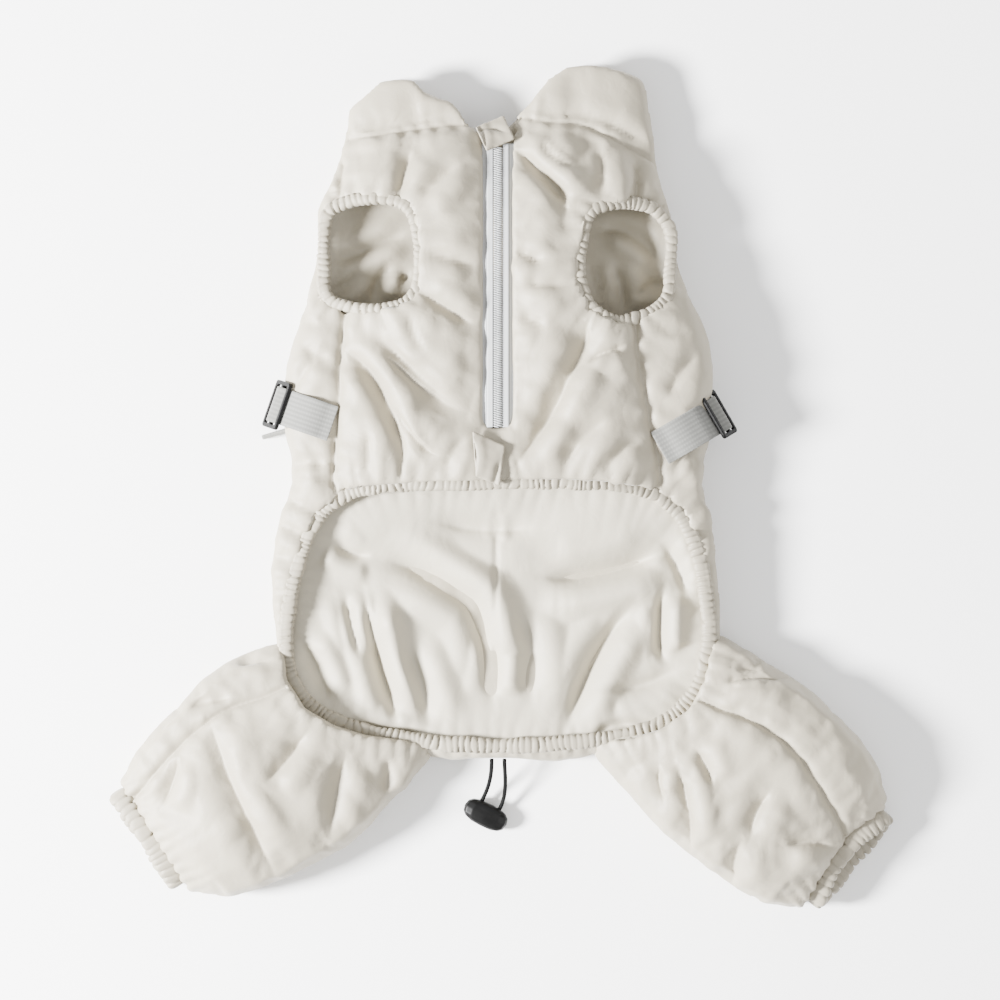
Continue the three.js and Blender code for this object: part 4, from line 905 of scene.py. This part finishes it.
masks = {"front": front, "under": under, "inside": inside, "side_wall": side_wall}
masks = refine(body, seam_lines + deep_folds, 3 * MM, masks)
front, under, inside, side_wall = masks["front"], masks["under"], masks["inside"], masks["side_wall"]
points, normals = points_of(body), normals_of(body)
relief = combined([puckers(points, BODY_SEAMS, 11), 1.45 * folds_relief(points, CHEST_FOLDS),
                   folds_relief(points, COLLAR_FOLDS), 0.6 * folds_relief(points, WAIST_FOLDS)])
relief += crumple(points, 31, [(52, 1.2)])
relief += ring_gathers(points, BELLY_LINE, BINDING_HALF, 9 * MM, 8.5 * MM, 1.3 * MM, 5)
for line in (ARMHOLE_LEFT_LINE, ARMHOLE_RIGHT_LINE):
    relief += ring_gathers(points, line, BINDING_HALF, 9 * MM, 8 * MM, 1.4 * MM, 6)
relief = limited(relief)
shift = normals * (relief * front + (1 - front) * side_wall * crumple(points, 47, [(30, 1.2)]))[:, None]
shift[:, 2] += under * np.minimum(relief, 0)
inner_relief = np.maximum(folds_relief(points, INNER_FOLDS, 0.8), -2.5 * MM)
shift[:, 2] += inside * (inner_relief + crumple(points, 53, [(22, 1.2)]))
for line, most in ((BELLY_LINE, 1.8), (ARMHOLE_LEFT_LINE, 3.2), (ARMHOLE_RIGHT_LINE, 3.2)):
    shift += front[:, None] * drawn_to(points, line, BINDING_HALF, 8 * MM, most * MM)
set_points(body, cornered(points + shift))
finish_piece(body, BODY_NODES, shell_material)

# The hind legs.
LEGS = {
    "left": {
        "root": (-80.0 * MM, -116.9 * MM), "angle": 213.1, "length": 139 * MM,
        "seam": [(285, 686), (260, 697), (226, 707), (187, 736), (163, 762), (141, 789), (131, 801)],
        "folds": [
            ([(180, 755), (172, 782), (163, 806)], 4.5, 3.4),
            ([(211, 721), (222, 752), (235, 787), (256, 830), (274, 869)], 6.5, 4.2),
            ([(308, 731), (291, 757), (269, 779)], 5.0, 3.4),
            ([(347, 755), (341, 782), (332, 833)], 5.5, 3.6),
            ([(388, 755), (391, 772), (388, 795)], 4.0, 2.6),
            ([(187, 707), (210, 700), (235, 697)], 4.5, 2.6),
            ([(235, 663), (255, 660), (274, 661)], 4.0, 2.4),
        ],
    },
    "right": {
        "root": (87.2 * MM, -115.9 * MM), "angle": -40.0, "length": 139 * MM,
        "seam": [
            (703, 701), (716, 706), (744, 715), (772, 730), (796, 752), (809, 771), (837, 817), (846, 836),
        ],
        "folds": [
            ([(733, 667), (748, 670), (765, 668)], 4.0, 2.6),
            ([(720, 682), (752, 676), (790, 678)], 4.5, 3.2),
            ([(658, 763), (657, 785), (664, 800)], 4.5, 3.0),
            ([(677, 765), (686, 802), (690, 849)], 5.5, 4.2),
            ([(694, 747), (705, 764), (712, 784)], 4.5, 3.2),
            ([(768, 789), (753, 812), (749, 836)], 5.5, 3.6),
            ([(740, 838), (733, 862), (731, 888)], 6.5, 3.4),
            ([(783, 845), (806, 840), (833, 847)], 4.5, 3.2),
        ],
    },
}
SEAM_SHAPE = (1.7, 4.0, 0.6, 16, 9)  # width, depth, pucker, wavelength and reach in millimetres
LEG_VOXEL = 1.8 * MM
for number, (side, leg) in enumerate(LEGS.items()):
    nodes = [f"leg_{side}_outer", f"leg_{side}_inner"]
    piece = joined(f"leg_{side}_quilted", nodes, LEG_VOXEL, 5, SEAM_CLOSING)
    points, normals = points_of(piece), normals_of(piece)
    outer = outer_mask(piece)
    turn = math.radians(leg["angle"])
    axis = np.array([math.cos(turn), math.sin(turn)])
    upper = np.array([-axis[1], axis[0]]) * (1 if math.cos(turn) > 0 else -1)
    along = (points[:, :2] - leg["root"]) @ axis
    top = outer * smoothstep(normals[:, 2], 0.0, 0.5)
    side_wall = outer * (1 - top) * smoothstep(points[:, 2], 1 * MM, 6 * MM)
    to_end = leg["length"] - along
    held_folds = [path for path, _, depth in leg["folds"] if depth > HELD_LEG_DEPTH]
    pinned = held(points, outer, top, [leg["seam"]], held_folds, [BELLY_LINE], 6 * MM,
                  1 - smoothstep(to_end, 6 * MM, 14 * MM))
    puff(piece, pinned, growth=0.012)
    relax(piece, 3)

    leg_lines = [leg["seam"]] + [path for path, _, depth in leg["folds"] if depth > HELD_DEPTH]
    masks = refine(piece, leg_lines, 3 * MM, {"front": top, "side_wall": side_wall})
    top, side_wall = masks["front"], masks["side_wall"]
    points, normals = points_of(piece), normals_of(piece)
    along = (points[:, :2] - leg["root"]) @ axis
    across = (points[:, :2] - leg["root"]) @ upper
    to_end = leg["length"] - along
    relief = combined([seam_relief(points, leg["seam"], *[v * MM for v in SEAM_SHAPE], 60 + number),
                       1.4 * folds_relief(points, leg["folds"])])
    relief += crumple(points, 71 + 9 * number, [(48, 1.2)])
    relief += ring_gathers(points, BELLY_LINE, BINDING_HALF, 7 * MM, 8 * MM, 1.3 * MM, 6)
    around = np.stack([across, points[:, 2], 0 * along], axis=1)
    wander = 1.8 * lattice_noise(around, 15 * MM, 5 + number)
    reach = 5 * MM * (1.2 + 0.8 * lattice_noise(around, 9 * MM, 25 + number))
    gathers = np.abs(np.sin(math.pi * across / (7 * MM) + wander)) ** 0.75
    fade = np.exp(-np.maximum(to_end - 5 * MM, 0) / reach)
    relief = limited(relief) * top + side_wall * crumple(points, 91 + number, [(28, 1.2)])
    relief += np.maximum(top, side_wall) * fade * (2.2 * gathers - 1.4) * MM
    shift = normals * relief[:, None] + drawn_to(points, BELLY_LINE, BINDING_HALF, 9 * MM, 3.2 * MM)
    set_above_floor(piece, points + shift)
    finish_piece(piece, nodes, shell_material)

# The lining over the back, seen through the belly opening: a sheet with broad folds.
LINING_FOLDS = [
    ([(377, 557), (418, 569), (458, 592), (478, 608), (487, 650), (493, 687)], 7.0, 6.0),
    ([(363, 588), (371, 628), (379, 663), (394, 707), (398, 727)], 5.5, 6.5),
    ([(345, 592), (352, 628), (361, 660)], 4.5, 4.0),
    ([(339, 725), (371, 729), (398, 737), (438, 731)], 4.5, 3.6),
    ([(539, 576), (568, 580), (627, 568), (665, 551)], 7.0, 6.0),
    ([(665, 587), (661, 601), (659, 650), (669, 665)], 4.5, 5.0),
    ([(497, 640), (494, 665), (492, 700)], 5.0, 4.5),
    ([(636, 601), (598, 650), (564, 734)], 6.5, 5.0),
    ([(589, 745), (610, 724), (669, 728)], 5.0, 4.0),
    ([(405, 640), (425, 690), (430, 730)], 6.0, 2.8),
    ([(300, 640), (318, 668), (330, 705)], 5.0, 3.2),
    ([(520, 610), (535, 655), (530, 705)], 6.5, 2.6),
    ([(600, 690), (640, 690), (680, 670)], 5.0, 2.6),
    ([(430, 520), (480, 532), (540, 528)], 7.0, 2.4),
    ([(330, 540), (352, 556), (372, 556)], 4.5, 3.2),
    ([(660, 540), (676, 559), (690, 600)], 4.5, 3.0),
    ([(497, 500), (497, 560), (496, 640)], 2.2, 1.4),
]
LINING_STEP = 1.2 * MM
LINING_THICKNESS = 1.0 * MM
low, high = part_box("back_lining")
tree = tree_of(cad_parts["back_lining"].data)
columns = np.arange(low.x - 7 * MM, high.x + 7 * MM, LINING_STEP)
rows = np.arange(low.y - 2 * MM, high.y, LINING_STEP)
grid_x, grid_y = np.meshgrid(columns, rows)
height = np.full(grid_x.shape, np.nan)
for i, y in enumerate(rows):
    for j, x in enumerate(columns):
        hit = tree.ray_cast(Vector((x, y, 0.1)), Vector((0, 0, -1)))[0]
        if hit is not None:
            height[i, j] = hit.z
ring_away, _, ring_side, _ = near_line(np.stack([grid_x.ravel(), grid_y.ravel()], axis=1), BELLY_LINE)
middle_side = near_line(BELLY_LINE.mean(axis=0)[None, :2], BELLY_LINE)[2][0]
within = ((ring_side == middle_side) | (ring_away < 3 * MM)).reshape(grid_x.shape)
kept = within | (~np.isnan(height) & (grid_y > -20 * MM))
level_height = np.nanmedian(height)
filled = np.where(np.isnan(height), level_height, np.maximum(height, level_height - 2 * MM))
for _ in range(40):
    padded = np.pad(filled, 1, mode="edge")
    filled = (padded[:-2, 1:-1] + padded[2:, 1:-1] + padded[1:-1, :-2] + padded[1:-1, 2:] + 2 * filled) / 6
index = -np.ones(grid_x.shape, int)
index[kept] = np.arange(kept.sum())
vertices = np.stack([grid_x[kept], grid_y[kept], filled[kept]], axis=1)
faces = [(index[i, j], index[i, j + 1], index[i + 1, j + 1], index[i + 1, j])
         for i in range(len(rows) - 1) for j in range(len(columns) - 1)
         if kept[i, j] and kept[i, j + 1] and kept[i + 1, j] and kept[i + 1, j + 1]]
lining = new_object("lining_sheet", vertices, faces)
points = points_of(lining)
relief = 1.35 * folds_relief(points, LINING_FOLDS, 0.8)
relief += 9 * MM * smoothstep(points[:, 1], -45 * MM, 0 * MM)
relief += crumple(points, 131, [(40, 2.4), (20, 0.6)])
relief += ring_gathers(points, BELLY_LINE, BINDING_HALF, 10 * MM, 9 * MM, 0.6 * MM, 15)
points[:, 2] = np.maximum(points[:, 2] + relief + 3.5 * MM, 9 * MM)
set_points(lining, points)
relax(lining, 4)
thickened(lining, LINING_THICKNESS)
finish_piece(lining, ["back_lining"], lining_material)

# The gathered elastic casings.
def level(centres, tangent):
    return np.cross(tangent, [0, 0, 1.0])


for name, line, gather, half in (
    ("belly_binding", BELLY_LINE, 3.6, 4.2), ("armhole_binding_left", ARMHOLE_LEFT_LINE, 4.0, 3.6),
    ("armhole_binding_right", ARMHOLE_RIGHT_LINE, 4.0, 3.6),
):
    band = gathered_band(f"{name}_gathered", cornered(line), level, half * MM, 3.5 * MM,
                         gather * MM, 0.34, len(name))
    finish_piece(band, [name], shaded_binding_material)

for side, leg in LEGS.items():
    turn = math.radians(leg["angle"])
    axis = np.array([math.cos(turn), math.sin(turn), 0])
    upper = np.array([-axis[1], axis[0], 0])
    line = ring_of(f"cuff_{side}", upper, (0, 0, 1), 36)
    band = gathered_band(f"cuff_{side}_gathered", line, lambda c, t, axis=axis: np.tile(axis, (len(c), 1)),
                         6.2 * MM, 3.0 * MM, 4.8 * MM, 0.5, 3)
    set_above_floor(band, points_of(band))
    finish_piece(band, [f"cuff_{side}"], shaded_binding_material)


# Zip.
def height_along(node):
    """The top of a node at each place along Y."""
    points = points_of(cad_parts[node])
    ys = np.unique(np.round(points[:, 1], 4))
    tops = np.array([points[np.abs(points[:, 1] - y) < 0.2 * MM, 2].max() for y in ys])
    return lambda y: np.interp(y, ys, tops)


def strip(name, low, high, height, thickness, relief, columns=13, step=1.5 * MM):
    """A long thin strip between two corners in plan that follows a height along Y and a relief across."""
    xs = np.linspace(low[0], high[0], columns)
    ys = np.arange(low[1], high[1] + 1e-9, step)
    grid = [(x, y, height(y) + relief(x)) for y in ys for x in xs]
    faces = [(i * columns + j, i * columns + j + 1, (i + 1) * columns + j + 1, (i + 1) * columns + j)
             for i in range(len(ys) - 1) for j in range(columns - 1)]
    made = new_object(name, grid, faces)
    thickened(made, thickness)
    return made


def tape_material(name, line_x):
    made = Nodes(name, ZIP_WHITE, 0.7, Sheen_Weight=0.2)
    split = made.add("ShaderNodeSeparateXYZ")
    made.link(made.place, split.inputs["Vector"])
    away = made.math("ABSOLUTE", made.math("SUBTRACT", split.outputs["X"], line_x))
    weave = made.wave(420, direction="Y")
    stripe = made.math("LESS_THAN", away, 0.32 * MM)
    dark = made.math("MULTIPLY", stripe, made.math("ADD", made.math("MULTIPLY", weave, 0.4), 0.6))
    tint = made.math("ADD", made.math("MULTIPLY", made.noise(220, 2), 0.12), dark)
    made.tones(tint, ZIP_WHITE, (0.0, 1.06), (0.2, 0.98), (0.9, 0.42))
    made.bump(weave, 0.4, 0.12 * MM)
    return made.material


for side in ("left", "right"):
    node = f"zip_tape_{side}"
    low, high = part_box(node)
    tuck = 2.5 * MM
    outer_x = low.x - tuck if side == "left" else high.x + tuck
    corners = sorted((outer_x, high.x if side == "left" else low.x))

    def sink(x, edge=outer_x):
        return -1.6 * MM * (1 - smoothstep(np.array(abs(x - edge)), 1.2 * tuck, 1.8 * tuck))

    tape = strip(f"{node}_woven", (corners[0], low.y), (corners[1], high.y + 3 * MM), height_along(node),
                 0.7 * MM, sink)
    line_x = low.x + 0.3 * (high.x - low.x) if side == "left" else low.x + 0.7 * (high.x - low.x)
    finish_piece(tape, [node], tape_material(f"zip_tape_{side}", line_x))

low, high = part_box("zip_coil")
coil_height = height_along("zip_coil")
COIL_PITCH = 1.25 * MM
COIL_SAMPLES = 9
turns = int((high.y - low.y) / COIL_PITCH)
coil_parts = bmesh.new()
for hand in (-1, 1):
    t = np.arange(turns * COIL_SAMPLES + 1) / COIL_SAMPLES
    angle = 2 * math.pi * t + (math.pi if hand > 0 else 0)
    middle_x = (low.x + high.x) / 2 + hand * 0.85 * MM
    y = low.y + t * COIL_PITCH
    centres = np.stack([middle_x + 1.25 * MM * np.cos(angle), y,
                        coil_height(y) - 1.0 * MM + 0.75 * MM * np.sin(angle)], axis=1)
    tangent, side_way, up_way = frames_along(centres, False)
    wire = sweep("coil_wire", centres, side_way, up_way,
                 lambda i, a: (0.36 * MM * np.cos(a), 0.36 * MM * np.sin(a)), 6, False)
    coil_parts.from_mesh(wire.data)
    bpy.data.objects.remove(wire)
coil_mesh = bpy.data.meshes.new("zip_coil_wire")
coil_parts.to_mesh(coil_mesh)
coil_parts.free()
coil_mesh.shade_smooth()
coil = linked("zip_coil_wire", coil_mesh)
coil_made = Nodes("coil_nylon", shade(ZIP_WHITE, 0.9), 0.4)
coil_made.tones(coil_made.noise(300, 2), ZIP_WHITE, (0.3, 0.8), (0.7, 1.05))
coil_made.bump(coil_made.noise(1500, 1), 0.2, 0.05 * MM)
finish_piece(coil, ["zip_coil"], coil_made.material)

# The tabs over the zip's ends.
TAB_CREASES = {
    "zip_top_tab": [
        ([(470, 134), (490, 128), (508, 134)], 1.6, 1.2),
        ([(478, 122), (486, 140), (486, 152)], 1.4, 0.9),
    ],
    "zip_end_tab": [
        ([(501, 460), (497, 476), (492, 494)], 1.8, 1.4),
        ([(470, 436), (478, 452), (474, 478)], 1.8, 1.0),
    ],
}
for node, creases in TAB_CREASES.items():
    tab = joined(f"{node}_folded", [node], 0.7 * MM, 4)
    points, normals = points_of(tab), normals_of(tab)
    relief = sum(fold(points, pixels, width * MM, depth * MM) for pixels, width, depth in creases)
    relief += crumple(points, 201, [(9, 0.35)])
    set_points(tab, points + normals * (relief * smoothstep(normals[:, 2], 0, 0.6))[:, None])
    finish_piece(tab, [node], shaded_binding_material)

# Straps, sliders, strap end, toggle.
STRAP_TURN = {"left": math.radians(161), "right": math.radians(30)}
for side in ("left", "right"):
    strap = joined(f"strap_{side}_ribbed", [f"strap_{side}"], 0.45 * MM, 2)
    webbing = webbing_material(f"webbing_{side}", WEBBING, STRAP_TURN[side])
    finish_piece(strap, [f"strap_{side}"], webbing)
    slider = joined(f"slider_{side}_moulded", [f"slider_{side}"], 0.35 * MM, 4)
    finish_piece(slider, [f"slider_{side}"], plastic)
tail = joined("strap_end_rolled", ["strap_end_left"], 0.5 * MM, 6)
finish_piece(tail, ["strap_end_left"], webbing_material("webbing_end", shade(WEBBING, 1.35), 0.2))
toggle = joined("toggle_moulded", ["toggle"], 0.4 * MM, 6)
finish_piece(toggle, ["toggle"], plastic)

finish_piece(drawcord, ["drawcord"], cord_made.material)
